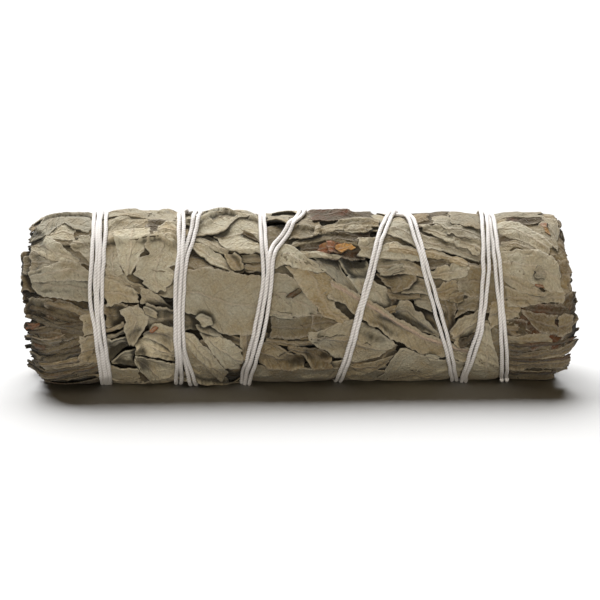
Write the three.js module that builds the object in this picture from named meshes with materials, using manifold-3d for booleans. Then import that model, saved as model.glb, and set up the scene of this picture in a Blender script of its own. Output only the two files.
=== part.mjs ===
// A dried white sage bunch: leafy stems packed side by side, broad leaves wrapped round them, and one
// doubled cotton string wound down the bunch and back. Millimetres. X runs along the bunch, the front is
// towards -Y, and the bunch lies on z = 0.
import * as THREE from "three";
import { mergeVertices } from "three/addons/utils/BufferGeometryUtils.js";
import Module from "manifold-3d";

const wasm = await Module();
wasm.setup();

// Driving sizes
const HALF_LENGTH = 50;
const AXIS_HEIGHT = 14.8; // less than the finished radius: the underside is pressed flat
const GAP = 0.3; // air between neighbouring pieces
const PACKED_RADIUS = 11.6; // the stems with their own leaves
const WRAP_INNER = 12;
const WRAP_START = 14.5; // the first wrapped leaves
const FULL = 15.65; // past this radius the leaves press into each other
const WRAP_HALF = 40; // the wrap's solid middle, the leaves reach past it
const LEAF = 0.65; // thickness of one pressed leaf
const BLADE = 0.9; // thickness where a leaf stands free at an end
const STRING_WIDE = 1.6; // two strands side by side
const STRING_HIGH = 0.8;
const SURFACE_RADIUS = 15.9; // finished radius, used to lay out leaves on the unrolled surface

// The front leaves are placed as seen from slightly above and from the left.
const SEEN_FROM_ABOVE = 12;
const SEEN_FROM_LEFT = 6;
const SEEN_RISE = 0.008; // the bunch's middle line rises a little to the right in that view

const radians = THREE.MathUtils.degToRad;

// Repeatable draws between two values.
function draws(seed) {
  let state = seed;
  return (low, high) => {
    state = (state * 16807) % 2147483647;
    return low + ((high - low) * state) / 2147483647;
  };
}

// Everything is shaped round the X axis, and then lifted to lie on the ground.
const lying = new THREE.Matrix4().makeTranslation(0, 0, AXIS_HEIGHT);

// A point at an angle round the bunch: 0 faces the front, 90 the top.
function onBunch(x, angle, radius) {
  return new THREE.Vector3(x, -radius * Math.cos(radians(angle)), radius * Math.sin(radians(angle)));
}

// From the front view, millimetres right of the middle and above the axis, to [x, angle].
function fromFront(across, up) {
  const share = (up - 0.4 - SEEN_RISE * across) / SURFACE_RADIUS;
  const angle =
    SEEN_FROM_ABOVE + THREE.MathUtils.radToDeg(Math.asin(THREE.MathUtils.clamp(share, -0.99, 0.99)));
  const turn = radians(SEEN_FROM_LEFT);
  return [(across - SURFACE_RADIUS * Math.cos(radians(angle)) * Math.sin(turn)) / Math.cos(turn), angle];
}

function solidOf(geometry, weld = 1e-4) {
  const bare = geometry.index ? geometry.toNonIndexed() : geometry.clone();
  const merged = mergeVertices(
    new THREE.BufferGeometry().setAttribute("position", bare.getAttribute("position")),
    weld,
  );
  return new wasm.Manifold(
    new wasm.Mesh({
      numProp: 3,
      vertProperties: merged.attributes.position.array,
      triVerts: new Uint32Array(merged.index.array),
    }),
  );
}

// A box cut into segments whose points move to place(u, v, t), each from 0 to 1: along, across and outwards.
function bentBox(along, across, place) {
  const geometry = new THREE.BoxGeometry(1, 1, 1, along, across, 1);
  const point = geometry.getAttribute("position");
  for (let i = 0; i < point.count; i += 1) {
    const at = place(point.getX(i) + 0.5, point.getY(i) + 0.5, point.getZ(i) + 0.5);
    at.applyMatrix4(lying);
    point.setXYZ(i, at.x, at.y, at.z);
  }
  const made = solidOf(geometry);
  if (made.volume() > 0) return made;
  const index = geometry.index.array;
  for (let i = 0; i < index.length; i += 3) [index[i + 1], index[i + 2]] = [index[i + 2], index[i + 1]];
  return solidOf(geometry);
}

function geometryOf(solid) {
  const made = solid.getMesh();
  return new THREE.BufferGeometry()
    .setAttribute("position", new THREE.BufferAttribute(new Float32Array(made.vertProperties), 3))
    .setIndex(new THREE.BufferAttribute(new Uint32Array(made.triVerts), 1));
}

// The largest body of a solid, its points welded. Loose scraps go, and sealed hollows are filled.
function oneBody(solid) {
  const largest = (whole) => whole.decompose().sort((a, b) => b.volume() - a.volume())[0];
  let body = largest(solid);
  for (let pass = 0; pass < 3; pass += 1) body = largest(solidOf(geometryOf(body), 1e-3));
  return body;
}

// Leaf ends: how much of the width is left at the very end, and how late it narrows.
const POINTED = { left: 0.08, power: 1.6 };
const ROUND = { left: 0.36, power: 3 };
const CUT = { left: 0.8, power: 2 };
const WIDEST = 0.45;

function halfWidth(leaf, u) {
  const end = u < WIDEST ? leaf.base : leaf.tip;
  const t = u < WIDEST ? 1 - u / WIDEST : (u - WIDEST) / (1 - WIDEST);
  return (leaf.width / 2) * (1 - (1 - end.left) * t ** end.power);
}

// How high the leaves already reach, on the unrolled surface, in cells of about 1 mm.
const CELL = 1;
const ROWS = 2 * (HALF_LENGTH + 4);
const COLUMNS = 98;
const DEGREES = 360 / COLUMNS;
const MM_PER_DEGREE = (SURFACE_RADIUS * Math.PI) / 180;
const cover = new Float64Array(ROWS * COLUMNS);

function cellOf(x, angle) {
  const row = THREE.MathUtils.clamp(Math.round((x + HALF_LENGTH + 4) / CELL), 0, ROWS - 1);
  const column = ((Math.round(angle / DEGREES) % COLUMNS) + COLUMNS) % COLUMNS;
  return row * COLUMNS + column;
}

// The string's turns in the order they are wound, from the knot to the right end and back: where each pass
// stands along X at the top, the middle and the bottom of the front. The angle falls from pass to pass.
const STRING_KNOT = [-36.4, 190];
const STRING_PASSES = [
  { top: -36.8, middle: -37.8, bottom: -35.6 },
  { top: -35.5, middle: -36.6, bottom: -35 },
  { top: -18.5, middle: -22.3, bottom: -19.6 },
  { top: -7.1, middle: -7.9, bottom: -10.5 },
  { top: 19.1, middle: 22.3, bottom: 28.2 },
  { top: 34.7, middle: 34.4, bottom: 37.4 },
  { top: 33.3, middle: 31.6, bottom: 29.8 },
  { top: 16.3, middle: 10.2, bottom: 6.8 },
  { top: 0.2, middle: -7.1, bottom: -9.9 },
  { top: -21.7, middle: -23, bottom: -22.3 },
];
const PASS_ANGLES = { top: 95, middle: 12, bottom: -68 };
const STRING_STEPS = 15; // to each turn

function stringRoute() {
  const keys = [new THREE.Vector2(STRING_KNOT[0], STRING_KNOT[1])];
  STRING_PASSES.forEach((pass, turn) => {
    for (const [place, angle] of Object.entries(PASS_ANGLES)) {
      keys.push(new THREE.Vector2(pass[place], angle - 360 * turn));
    }
  });
  keys.push(new THREE.Vector2(STRING_KNOT[0] + 1.4, STRING_KNOT[1] - 360 * STRING_PASSES.length));
  const curve = new THREE.SplineCurve(keys).getPoints(keys.length * 40);
  return Array.from({ length: STRING_PASSES.length * STRING_STEPS + 1 }, (_, step) => {
    const wanted = STRING_KNOT[1] - (step * 360) / STRING_STEPS;
    return curve.find((point) => point.y <= wanted + 1e-6) ?? curve.at(-1);
  });
}

// How far each layer of leaves is drawn in under the string.
const PINCH = 0.4;
const PINCH_WIDTH = 2.4;
const route = stringRoute();
const drawnIn = new Float64Array(ROWS * COLUMNS);
route.forEach((point, i) => {
  const before = route[Math.max(0, i - 1)];
  for (let part = 0; part < 1; part += 0.1) {
    for (let offset = -4; offset <= 4; offset += 1) {
      const x = THREE.MathUtils.lerp(before.x, point.x, part) + offset;
      const cell = cellOf(x, THREE.MathUtils.lerp(before.y, point.y, part));
      drawnIn[cell] = Math.max(drawnIn[cell], PINCH * Math.exp(-((offset / PINCH_WIDTH) ** 2)));
    }
  }
});

// The radius of a leaf's top where it is laid over the others and drawn in under the string.
function pressed(x, angle) {
  const laid = reach(x, angle) + LEAF - drawnIn[cellOf(x, angle)];
  return laid > FULL ? FULL + (laid - FULL) * 0.4 : laid;
}

// The height that a pressed leaf takes over a spot, between the mean and the highest nearby.
function reach(x, angle) {
  let highest = 0;
  let sum = 0;
  let count = 0;
  for (let i = -1; i <= 1; i += 1) {
    for (let j = -1; j <= 1; j += 1) {
      const found = cover[cellOf(x + i * 1.4 * CELL, angle + j * 1.4 * DEGREES)];
      highest = Math.max(highest, found);
      sum += found;
      count += 1;
    }
  }
  return highest * 0.75 + (sum / count) * 0.25;
}

// A leaf's frame on the unrolled surface: its start, direction and length.
function layout(leaf) {
  const [x0, a0] = leaf.from;
  const [x1, a1] = leaf.to;
  const dx = x1 - x0;
  const ds = (a1 - a0) * MM_PER_DEGREE;
  const length = Math.hypot(dx, ds);
  return { x0, a0, length, ux: dx / length, us: ds / length };
}

function spot(leaf, frame, u, v) {
  const bow = leaf.bow * Math.sin(Math.PI * u);
  const side = v * halfWidth(leaf, u) + bow;
  return [
    frame.x0 + u * frame.length * frame.ux - side * frame.us,
    frame.a0 + (u * frame.length * frame.us + side * frame.ux) / MM_PER_DEGREE,
  ];
}

// Presses one leaf on the bunch: a solid patch, sunk into the wrap, that is a thin blade past its ends.
const FEW_STATIONS = [0, 0.3, 0.72, 1];
const STATIONS = [0, 0.17, 0.45, 0.74, 1];
const SUNK = WRAP_INNER + GAP;
function pressLeaf(leaf, stations, draw) {
  const frame = layout(leaf);
  const rows = stations.map((u) => {
    return [-1, 0, 1].map((v) => {
      const [x, angle] = spot(leaf, frame, u, v * (v === 0 ? 1 : draw(0.88, 1.08)));
      return { x, angle, radius: pressed(x, angle) + (v === 0 ? 0.12 : 0) };
    });
  });
  const solid = bentBox(stations.length - 1, 2, (u, v, t) => {
    const at = rows[Math.round(u * (stations.length - 1))][Math.round(v * 2)];
    const under = Math.abs(at.x) > WRAP_HALF - 2 ? Math.max(SUNK, at.radius - BLADE) : SUNK;
    return onBunch(at.x, at.angle, t > 0.5 ? at.radius : under);
  });
  const blend = THREE.MathUtils.lerp;
  for (let k = 1; k < stations.length; k += 1) {
    const steps = Math.ceil(((stations[k] - stations[k - 1]) * frame.length) / (CELL * 0.6));
    const across = Math.ceil(leaf.width / (CELL * 0.6));
    for (let i = 0; i <= steps; i += 1) {
      for (let j = 0; j <= across; j += 1) {
        const half = (2 * j) / across <= 1 ? 0 : 1;
        const v = (2 * j) / across - half;
        const [a, b, c, d] = [rows[k - 1][half], rows[k - 1][half + 1], rows[k][half], rows[k][half + 1]];
        const at = (part) => blend(blend(a[part], b[part], v), blend(c[part], d[part], v), i / steps);
        const cell = cellOf(at("x"), at("angle"));
        cover[cell] = Math.max(cover[cell], at("radius"));
      }
    }
  }
  return solid;
}

// The front leaves, undermost first: from and to are [right of the middle, above the axis] in the front view.
const FRONT_LEAVES = [
  { from: [-33, 14.6], to: [-48.6, 11.6], width: 11, base: CUT, tip: ROUND, bow: 0.6 },
  { from: [-35, 9.4], to: [-45, 11.6], width: 7, base: CUT, tip: ROUND, bow: 0 },
  { from: [-37.4, 5.6], to: [-47.8, 11.4], width: 6.5, base: POINTED, tip: ROUND, bow: 0.8 },
  { from: [-34, 2.2], to: [-48.2, 3.8], width: 7.5, base: CUT, tip: CUT, bow: 0 },
  { from: [-37, 3.8], to: [-27, 1.8], width: 3.6, base: ROUND, tip: POINTED, bow: 0 },
  { from: [-26, 13.8], to: [-33.6, 4.8], width: 8.6, base: CUT, tip: ROUND, bow: -0.8 },
  { from: [-38.5, -0.4], to: [-27.6, 0.8], width: 6.6, base: CUT, tip: POINTED, bow: 0 },
  { from: [-21, 10.6], to: [-27.4, 1.4], width: 9, base: CUT, tip: ROUND, bow: 0.6 },
  { from: [-30, 0.5], to: [-24.6, -2], width: 3.6, base: ROUND, tip: POINTED, bow: 0 },
  { from: [-41, -8], to: [-29.4, -7.4], width: 7, base: CUT, tip: POINTED, bow: 0 },
  { from: [-41, -13.2], to: [-21, -14], width: 9, base: ROUND, tip: ROUND, bow: 0.6 },
  { from: [-19, -7.2], to: [-29.2, -4.4], width: 5.6, base: CUT, tip: ROUND, bow: 0 },
  { from: [-19, -10.2], to: [-31.6, -9], width: 5.6, base: CUT, tip: ROUND, bow: 0.5 },
  { from: [-29.6, -0.4], to: [-30.6, -9.2], width: 5.6, base: ROUND, tip: POINTED, bow: 0 },
  { from: [-3, 13.6], to: [-17.4, 8.6], width: 9.6, base: CUT, tip: ROUND, bow: 0.7 },
  { from: [-21, 14], to: [-8.6, 15.2], width: 6, base: CUT, tip: POINTED, bow: -1.2 },
  { from: [-21, 12], to: [-10, 5.8], width: 4.4, base: CUT, tip: POINTED, bow: 0.5 },
  { from: [-21.6, 10.6], to: [-9.2, 4.4], width: 3.6, base: ROUND, tip: POINTED, bow: 0 },
  { from: [-10, 1.4], to: [5.2, -1.6], width: 7.6, base: CUT, tip: POINTED, bow: 0 },
  { from: [-22, -6], to: [-9, -15], width: 6.4, base: CUT, tip: ROUND, bow: 0.5 },
  { from: [-22, -2.4], to: [-9.4, -12.6], width: 7, base: CUT, tip: ROUND, bow: 0 },
  { from: [-18, -5.4], to: [-5, -11.6], width: 5.8, base: ROUND, tip: CUT, bow: 0.5 },
  { from: [-24, 0.6], to: [-3.6, -2.2], width: 12.6, base: ROUND, tip: ROUND, bow: 0.5 },
  { from: [-9, -13.5], to: [12, -14.4], width: 8, base: CUT, tip: ROUND, bow: 0 },
  { from: [9.4, -12.8], to: [-4.6, -10.2], width: 4.6, base: CUT, tip: POINTED, bow: 0 },
  { from: [14, -6.6], to: [1.4, -8], width: 8.8, base: CUT, tip: ROUND, bow: 0.6 },
  { from: [9.4, 8.8], to: [6, -5.6], width: 9.6, base: CUT, tip: POINTED, bow: 0.6 },
  { from: [-3, 6.4], to: [6.4, -3.6], width: 7.6, base: CUT, tip: ROUND, bow: -0.6 },
  { from: [-5.4, 8.8], to: [4, 5.2], width: 4.8, base: CUT, tip: ROUND, bow: 0.4 },
  { from: [-1.6, 13.4], to: [14.6, 12.4], width: 4.8, base: ROUND, tip: POINTED, bow: 0.6 },
  { from: [-1.4, 10.8], to: [9.6, 10.2], width: 2.8, base: POINTED, tip: ROUND, bow: 0.6 },
  { from: [29, -14.6], to: [9, -14], width: 10, base: CUT, tip: POINTED, bow: 0 },
  { from: [17.4, -0.4], to: [24.6, -8.6], width: 6.2, base: ROUND, tip: POINTED, bow: 0 },
  { from: [11, 4], to: [16.4, -2.2], width: 6.4, base: CUT, tip: ROUND, bow: 0 },
  { from: [34, -12.6], to: [7.2, 2.6], width: 6.6, base: POINTED, tip: ROUND, bow: 0.8 },
  { from: [28.4, 4], to: [12.8, 6.6], width: 6.4, base: ROUND, tip: CUT, bow: 0.5 },
  { from: [33, 5.2], to: [13.6, 10], width: 4.2, base: POINTED, tip: CUT, bow: -0.5 },
  { from: [35, 7.4], to: [16.4, 13.4], width: 5.8, base: POINTED, tip: CUT, bow: 0.4 },
  { from: [35.4, 10.2], to: [20, 14.2], width: 5.4, base: CUT, tip: POINTED, bow: 0 },
  { from: [34, 1], to: [25.6, 1.8], width: 6.8, base: CUT, tip: ROUND, bow: 0 },
  { from: [31.4, 3.4], to: [25, -2], width: 5, base: CUT, tip: POINTED, bow: 0 },
  { from: [33.6, -1.6], to: [27.4, -7.8], width: 6.2, base: CUT, tip: ROUND, bow: 0.5 },
  { from: [36.6, -14.8], to: [32.8, -4.6], width: 8, base: CUT, tip: POINTED, bow: 0 },
  { from: [33, 3.8], to: [46.8, 2.8], width: 9.6, base: CUT, tip: ROUND, bow: -0.5 },
  { from: [33.4, 13], to: [45.6, 7.2], width: 5.2, base: CUT, tip: ROUND, bow: 0.8 },
  { from: [35, 2.8], to: [43.8, -0.4], width: 4.2, base: CUT, tip: POINTED, bow: 0.5 },
  { from: [36, -1.8], to: [46.6, -4], width: 6, base: ROUND, tip: CUT, bow: 0 },
  { from: [39, -0.6], to: [51.2, -2.4], width: 5, base: CUT, tip: ROUND, bow: 0 },
];

// Every other leaf follows one rule, spread evenly over the rest of the surface.
const SPREAD_LEAVES = 36;
const FRONT_HALF = 72; // degrees each side of the front view's middle that the front leaves cover
const BARE = { x: -41, low: -62, high: 14 }; // here the packed leaves show at the left end

function scattered(index, draw) {
  const spread = 2 * (WRAP_HALF - 4);
  const x = -spread / 2 + spread * ((index * 0.7549) % 1) + draw(-2, 2);
  const angle = 360 * ((index * 0.5698) % 1) + draw(-6, 6);
  const length = draw(19, 29);
  const turn = radians(draw(-38, 38) + (draw(0, 1) < 0.5 ? 180 : 0));
  const dx = (Math.cos(turn) * length) / 2;
  const da = (Math.sin(turn) * length) / 2 / MM_PER_DEGREE;
  const tip = [POINTED, ROUND, ROUND, CUT][Math.floor(draw(0, 3.999))];
  return {
    from: [x - dx, angle - da],
    to: [x + dx, angle + da],
    width: draw(8, 12.5),
    base: draw(0, 1) < 0.5 ? CUT : ROUND,
    tip,
    bow: draw(-1, 1),
  };
}

function inFront(leaf) {
  const middle = (leaf.from[1] + leaf.to[1]) / 2;
  const off = ((((middle - SEEN_FROM_ABOVE + 180) % 360) + 360) % 360) - 180;
  return Math.abs(off) < FRONT_HALF;
}

function overBare(leaf) {
  return [leaf.from, leaf.to].some(([x, angle]) => {
    const turned = ((((angle + 180) % 360) + 360) % 360) - 180;
    return x < BARE.x && turned > BARE.low && turned < BARE.high;
  });
}

// The wrap's hidden middle, a thin tube that the leaves are sunk into.
function wrapMiddle() {
  const profile = [
    [WRAP_INNER, -WRAP_HALF],
    [WRAP_START, -WRAP_HALF],
    [WRAP_START, WRAP_HALF],
    [WRAP_INNER, WRAP_HALF],
    [WRAP_INNER, -WRAP_HALF],
  ].map(([radius, along]) => new THREE.Vector2(radius, along));
  const tube = new THREE.LatheGeometry(profile, 26);
  tube.rotateZ(-Math.PI / 2);
  return solidOf(tube.applyMatrix4(lying));
}

// Folded leaf edges that stand out of both ends under the wrap.
function endFolds(draw) {
  const folds = [];
  for (const side of [-1, 1]) {
    for (const [layer, count] of [
      [0, 9],
      [1, 8],
    ]) {
      for (let i = 0; i < count; i += 1) {
        const start = (360 / count) * (i + draw(-0.1, 0.1)) + layer * 17;
        const sweep = (360 / count) * draw(0.62, 0.86);
        const low = WRAP_INNER + GAP + layer * 1.35 + draw(0, 0.2);
        const outs = [draw(43.5, 49.4), draw(43.5, 49.4)];
        folds.push(
          bentBox(1, 3, (u, v, t) => {
            const radius = low + t * 0.75 - u * 0.5 * t * layer;
            const out = THREE.MathUtils.lerp(outs[0], outs[1], v);
            return onBunch(side * THREE.MathUtils.lerp(WRAP_HALF - 3, out, u), start + v * sweep, radius);
          }),
        );
      }
    }
  }
  return folds;
}

// How far out the string lies: clear of the leaves, taut over hollows, and just off the ground.
function stringRadii() {
  let radii = route.map((point, i) => {
    let highest = WRAP_INNER;
    for (const other of [route[Math.max(0, i - 1)], route[Math.min(route.length - 1, i + 1)]]) {
      for (let part = 0; part <= 0.75; part += 0.25) {
        for (const side of [-1, 0, 1]) {
          const x = THREE.MathUtils.lerp(point.x, other.x, part) + side;
          const cell = cellOf(x, THREE.MathUtils.lerp(point.y, other.y, part));
          highest = Math.max(highest, cover[cell]);
        }
      }
    }
    return highest + 1.6 * GAP + STRING_HIGH / 2;
  });
  for (let pass = 0; pass < 3; pass += 1) {
    radii = radii.map((radius, i) => {
      const before = radii[Math.max(0, i - 1)];
      const after = radii[Math.min(radii.length - 1, i + 1)];
      return Math.max(radius * 0.8 + (before + after) * 0.1, (before + after) / 2);
    });
  }
  return radii.map((radius, i) => {
    const down = -Math.sin(radians(route[i].y));
    const most = (AXIS_HEIGHT - STRING_HIGH / 2 - 0.1) / Math.max(down, 0.05);
    return down > 0 ? Math.min(radius, most) : radius;
  });
}

// One length of the string between two steps of the route, with room added on every side.
function stringLength(radii, first, last, room, above) {
  return bentBox(last - first, room > 0 ? 1 : 2, (u, v, t) => {
    const i = Math.round(first + u * (last - first));
    const before = route[Math.max(0, i - 1)];
    const after = route[Math.min(route.length - 1, i + 1)];
    const heading = new THREE.Vector2(after.x - before.x, (after.y - before.y) * MM_PER_DEGREE).normalize();
    const side = (v - 0.5) * (STRING_WIDE + 2 * room);
    const groove = t > 0.5 && v === 0.5 && room === 0 ? 0.2 : 0;
    const out = t > 0.5 ? STRING_HIGH / 2 + above - groove : -STRING_HIGH / 2 - room;
    return onBunch(
      route[i].x - side * heading.y,
      route[i].y + (side * heading.x) / MM_PER_DEGREE,
      radii[i] + out,
    );
  });
}

// Wound out to the right end and back again: each way on its own never meets itself.
function stringLengths(radii, room, above) {
  const turn = Math.round(STRING_STEPS * 5.7);
  return [
    stringLength(radii, 0, turn + 1, room, above),
    stringLength(radii, turn, route.length - 1, room, above),
  ];
}

// The overhand knot at the back with two short tails.
function knot(radii) {
  const at = onBunch(STRING_KNOT[0] + 0.7, STRING_KNOT[1], radii[0] + 0.5);
  const ball = new THREE.SphereGeometry(1.35, 8, 6);
  ball.scale(1.15, 0.8, 1);
  ball.translate(at.x, at.y, at.z);
  ball.applyMatrix4(lying);
  const tails = [-1, 1].map((side) => {
    return bentBox(4, 1, (u, v, t) => {
      const angle = STRING_KNOT[1] + side * 26 * u;
      const x = STRING_KNOT[0] + 0.7 + side * 4 * u ** 1.5 + (v - 0.5) * 0.8;
      const lift = reach(x, angle) + 0.5;
      return onBunch(x, angle, Math.max(lift, radii[0] - u) + (t - 0.5) * 0.8);
    });
  });
  return [solidOf(ball), ...tails];
}

// The packed leafy stems: where each stands in the end view, as [towards the back, above the axis].
const STEMS = [
  { at: [0.7, 0.9], thick: 3, ends: [-46.5, 44.6] },
  { at: [-7.3, 1.4], thick: 2.4, ends: [-45.2, 47.2] },
  { at: [-3.6, 7.4], thick: 2, ends: [-44.4, 45.4] },
  { at: [4.6, 7.2], thick: 2.4, ends: [-46.8, 46.2] },
  { at: [8.1, -0.6], thick: 2, ends: [-45.6, 44.8] },
  { at: [3.4, -7.2], thick: 2.6, ends: [-47.2, 48.4] },
  { at: [-4.8, -6.3], thick: 2.2, ends: [-44.8, 49] },
];

// How far a stem's own leaves spread in a direction before they meet the next stem's.
function cellReach(which, direction) {
  const [y, z] = STEMS[which].at;
  const [dy, dz] = [Math.cos(direction), Math.sin(direction)];
  const along = y * dy + z * dz;
  let most = -along + Math.sqrt(along * along - (y * y + z * z) + PACKED_RADIUS * PACKED_RADIUS);
  STEMS.forEach((other, i) => {
    const [oy, oz] = [other.at[0] - y, other.at[1] - z];
    const towards = oy * dy + oz * dz;
    if (i === which || towards <= 0) return;
    const apart = Math.hypot(oy, oz);
    most = Math.min(most, ((apart / 2 - GAP / 2 - 0.05) * apart) / towards);
  });
  return most;
}

function inCell(which, x, direction, share) {
  const [y, z] = STEMS[which].at;
  const out = cellReach(which, direction) * share;
  return new THREE.Vector3(x, y + out * Math.cos(direction), z + out * Math.sin(direction));
}

// A stem as a slightly crooked rod. Room widens it for the hole it stands in.
function stemRod(which, room) {
  const { at, thick, ends } = STEMS[which];
  const rod = new THREE.CylinderGeometry(thick / 2 + room, thick / 2 + room, 1, 7, 6);
  rod.rotateZ(-Math.PI / 2);
  const point = rod.getAttribute("position");
  for (let i = 0; i < point.count; i += 1) {
    const u = point.getX(i) + 0.5;
    const x = THREE.MathUtils.lerp(ends[0] - room * 20, ends[1] + room * 20, u);
    const crook = 0.25 * Math.sin(x / 9 + which);
    point.setXYZ(i, x, point.getY(i) + at[0] + crook, point.getZ(i) + at[1] + crook);
  }
  return solidOf(rod.applyMatrix4(lying));
}

// One stem's leaves, folded round it: solid where they are bound, separate folds at the ends.
const BOUND_HALF = 41;
const RINGS = [
  { share: 0.96, folds: 3 },
  { share: 0.7, folds: 2 },
];
function stemLeaves(which, draw) {
  const outline = Array.from({ length: 12 }, (_, i) => {
    const point = inCell(which, 0, (i / 12) * 2 * Math.PI, 1);
    return new THREE.Vector2(point.y, point.z);
  });
  const bound = new THREE.ExtrudeGeometry(new THREE.Shape(outline), {
    depth: 2 * BOUND_HALF,
    bevelEnabled: false,
  });
  bound.applyMatrix4(
    new THREE.Matrix4().set(0, 0, 1, -BOUND_HALF, 1, 0, 0, 0, 0, 1, 0, 0, 0, 0, 0, 1),
  );
  const parts = [solidOf(bound.applyMatrix4(lying))];
  for (const side of [-1, 1]) {
    for (const ring of RINGS) {
      for (let i = 0; i < ring.folds; i += 1) {
        const start = ((i + draw(-0.12, 0.12)) / ring.folds) * 2 * Math.PI + which;
        const sweep = ((2 * Math.PI) / ring.folds) * draw(0.7, 0.92);
        const curl = draw(-0.05, 0.22);
        const outs = [draw(43, 49.6), draw(43, 49.6)];
        parts.push(
          bentBox(1, 2, (u, v, t) => {
            const direction = start + v * sweep;
            const thin = 0.7 / cellReach(which, direction);
            const out = THREE.MathUtils.lerp(outs[0], outs[1], v);
            const x = side * THREE.MathUtils.lerp(BOUND_HALF - 2, out, u);
            return inCell(which, x, direction, ring.share - curl * v - (1 - t) * thin);
          }),
        );
      }
    }
  }
  return oneBody(wasm.Manifold.union(parts).subtract(stemRod(which, GAP)));
}

function nodeMesh(name, solid, colour, roughness) {
  const mesh = new THREE.Mesh(
    geometryOf(solid),
    new THREE.MeshStandardMaterial({ color: colour, roughness, metalness: 0, flatShading: true }),
  );
  mesh.name = name;
  return mesh;
}

// The ground cuts the pressed underside flat.
const ground = solidOf(new THREE.BoxGeometry(200, 200, 40).translate(0, 0, -20));

const SAGE = 0xa39d88;
const SAGE_INSIDE = 0x8b7f60;
const STALK = 0x8c6f48;
const COTTON = 0xe8e4dd;

const bunch = new THREE.Group();

const draw = draws(20417);
cover.fill(WRAP_START);
const leaves = [wrapMiddle(), ...endFolds(draw)];
for (let i = 0; i < SPREAD_LEAVES; i += 1) {
  const leaf = scattered(i, draw);
  if (!overBare(leaf) && !inFront(leaf)) leaves.push(pressLeaf(leaf, FEW_STATIONS, draw));
}
for (const leaf of FRONT_LEAVES) {
  const placed = { ...leaf, from: fromFront(...leaf.from), to: fromFront(...leaf.to) };
  leaves.push(pressLeaf(placed, STATIONS, draw));
}

const radii = stringRadii();
const string = wasm.Manifold.union([...stringLengths(radii, 0, 0), ...knot(radii)]);
const grooves = wasm.Manifold.union([...stringLengths(radii, GAP, 1.6), ...knot(radii)]);
const wrap = oneBody(wasm.Manifold.union(leaves).subtract(grooves).subtract(ground));
bunch.add(nodeMesh("outer_leaves", wrap, SAGE, 0.95));
bunch.add(nodeMesh("string", oneBody(string), COTTON, 0.9));

STEMS.forEach((stem, i) => {
  bunch.add(nodeMesh(`sprig_${i + 1}_leaves`, stemLeaves(i, draw), SAGE_INSIDE, 0.95));
  bunch.add(nodeMesh(`sprig_${i + 1}_stem`, stemRod(i, 0), STALK, 0.85));
});

export default bunch;
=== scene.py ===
"""A dried white sage bunch on a white table: broad leaves wrapped round packed stems, bound with string.

Sizes are in millimetres until a mesh is made. The bunch lies along X with its front towards -Y. Leaves are
laid on the unrolled surface one after another, each over what lies there already, so `cover` always holds
the height that the leaves have reached. The unrolled surface is given as x and the angle round the bunch.
"""
import math

import bpy
import numpy as np
from mathutils import Matrix, Vector


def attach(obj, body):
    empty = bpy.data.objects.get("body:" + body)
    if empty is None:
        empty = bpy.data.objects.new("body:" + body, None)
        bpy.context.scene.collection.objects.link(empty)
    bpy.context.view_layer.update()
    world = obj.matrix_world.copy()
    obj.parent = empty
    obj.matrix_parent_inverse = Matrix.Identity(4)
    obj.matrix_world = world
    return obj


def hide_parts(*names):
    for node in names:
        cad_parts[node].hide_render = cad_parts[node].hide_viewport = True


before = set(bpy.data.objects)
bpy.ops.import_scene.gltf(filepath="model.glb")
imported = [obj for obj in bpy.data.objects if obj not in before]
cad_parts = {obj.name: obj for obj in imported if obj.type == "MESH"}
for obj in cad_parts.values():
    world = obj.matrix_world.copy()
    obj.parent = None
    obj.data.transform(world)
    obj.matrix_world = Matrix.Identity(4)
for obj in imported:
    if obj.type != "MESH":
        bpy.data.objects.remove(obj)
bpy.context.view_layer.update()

HALF_LENGTH = 50
AXIS_HEIGHT = 14.8
SURFACE_RADIUS = 15.9  # where the leaves and the string that the front view shows are taken to lie
PACKED_RADIUS = 11.6

SEEN_FROM_ABOVE = 12  # degrees
SEEN_FROM_LEFT = 6
CAMERA_ROLL = 0.8
CAMERA_DISTANCE = 420
AIMED_AT = (0.2, 0, 14.45)
PICTURE_SIZE = 600
FOCAL_PIXELS = 2284
PIXELS_PER_MM = 5.58
SEEN_MIDDLE = (301, 299)
SEEN_RISE = 0.008  # how much the bunch seems to climb to the right
RIM_SHARE = 0.97  # of the radius, where the front view's places start to run on over the rim
DEGREES_PAST_RIM = 160

WRAP_START = 11.9  # how far out from the axis the broad leaves start
BARE_START = 11.0
FULL = 14.9  # leaves that would lie further out than this are pressed closer together
LEAF_THICKNESS = 0.26
LEAF_CLEARANCE = 0.03
STRAND_RADIUS = 0.36
STRING_STEP = 0.25
TABLE_SOFTNESS = 0.3

CELL = 0.25
EDGE = HALF_LENGTH + 5
ROWS = int(2 * EDGE / CELL)
COLUMNS = 392
DEGREES = 360 / COLUMNS
MM_PER_DEGREE = math.radians(SURFACE_RADIUS)

FRONT_HALF = 72  # degrees either side of the middle of the front, where the leaves are given one by one
BARE = (-41, -62, 14)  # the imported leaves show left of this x, between these angles

rng = np.random.RandomState(20417)
LATTICE = np.random.RandomState(5).uniform(-1, 1, (256, 256))


def on_bunch(x, angle, radius):
    """Points at an angle round the bunch: 0 faces the front, 90 the top."""
    turned = np.radians(angle)
    x = x + 0 * radius
    return np.stack([x, -radius * np.cos(turned), AXIS_HEIGHT + radius * np.sin(turned)], axis=-1)


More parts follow.
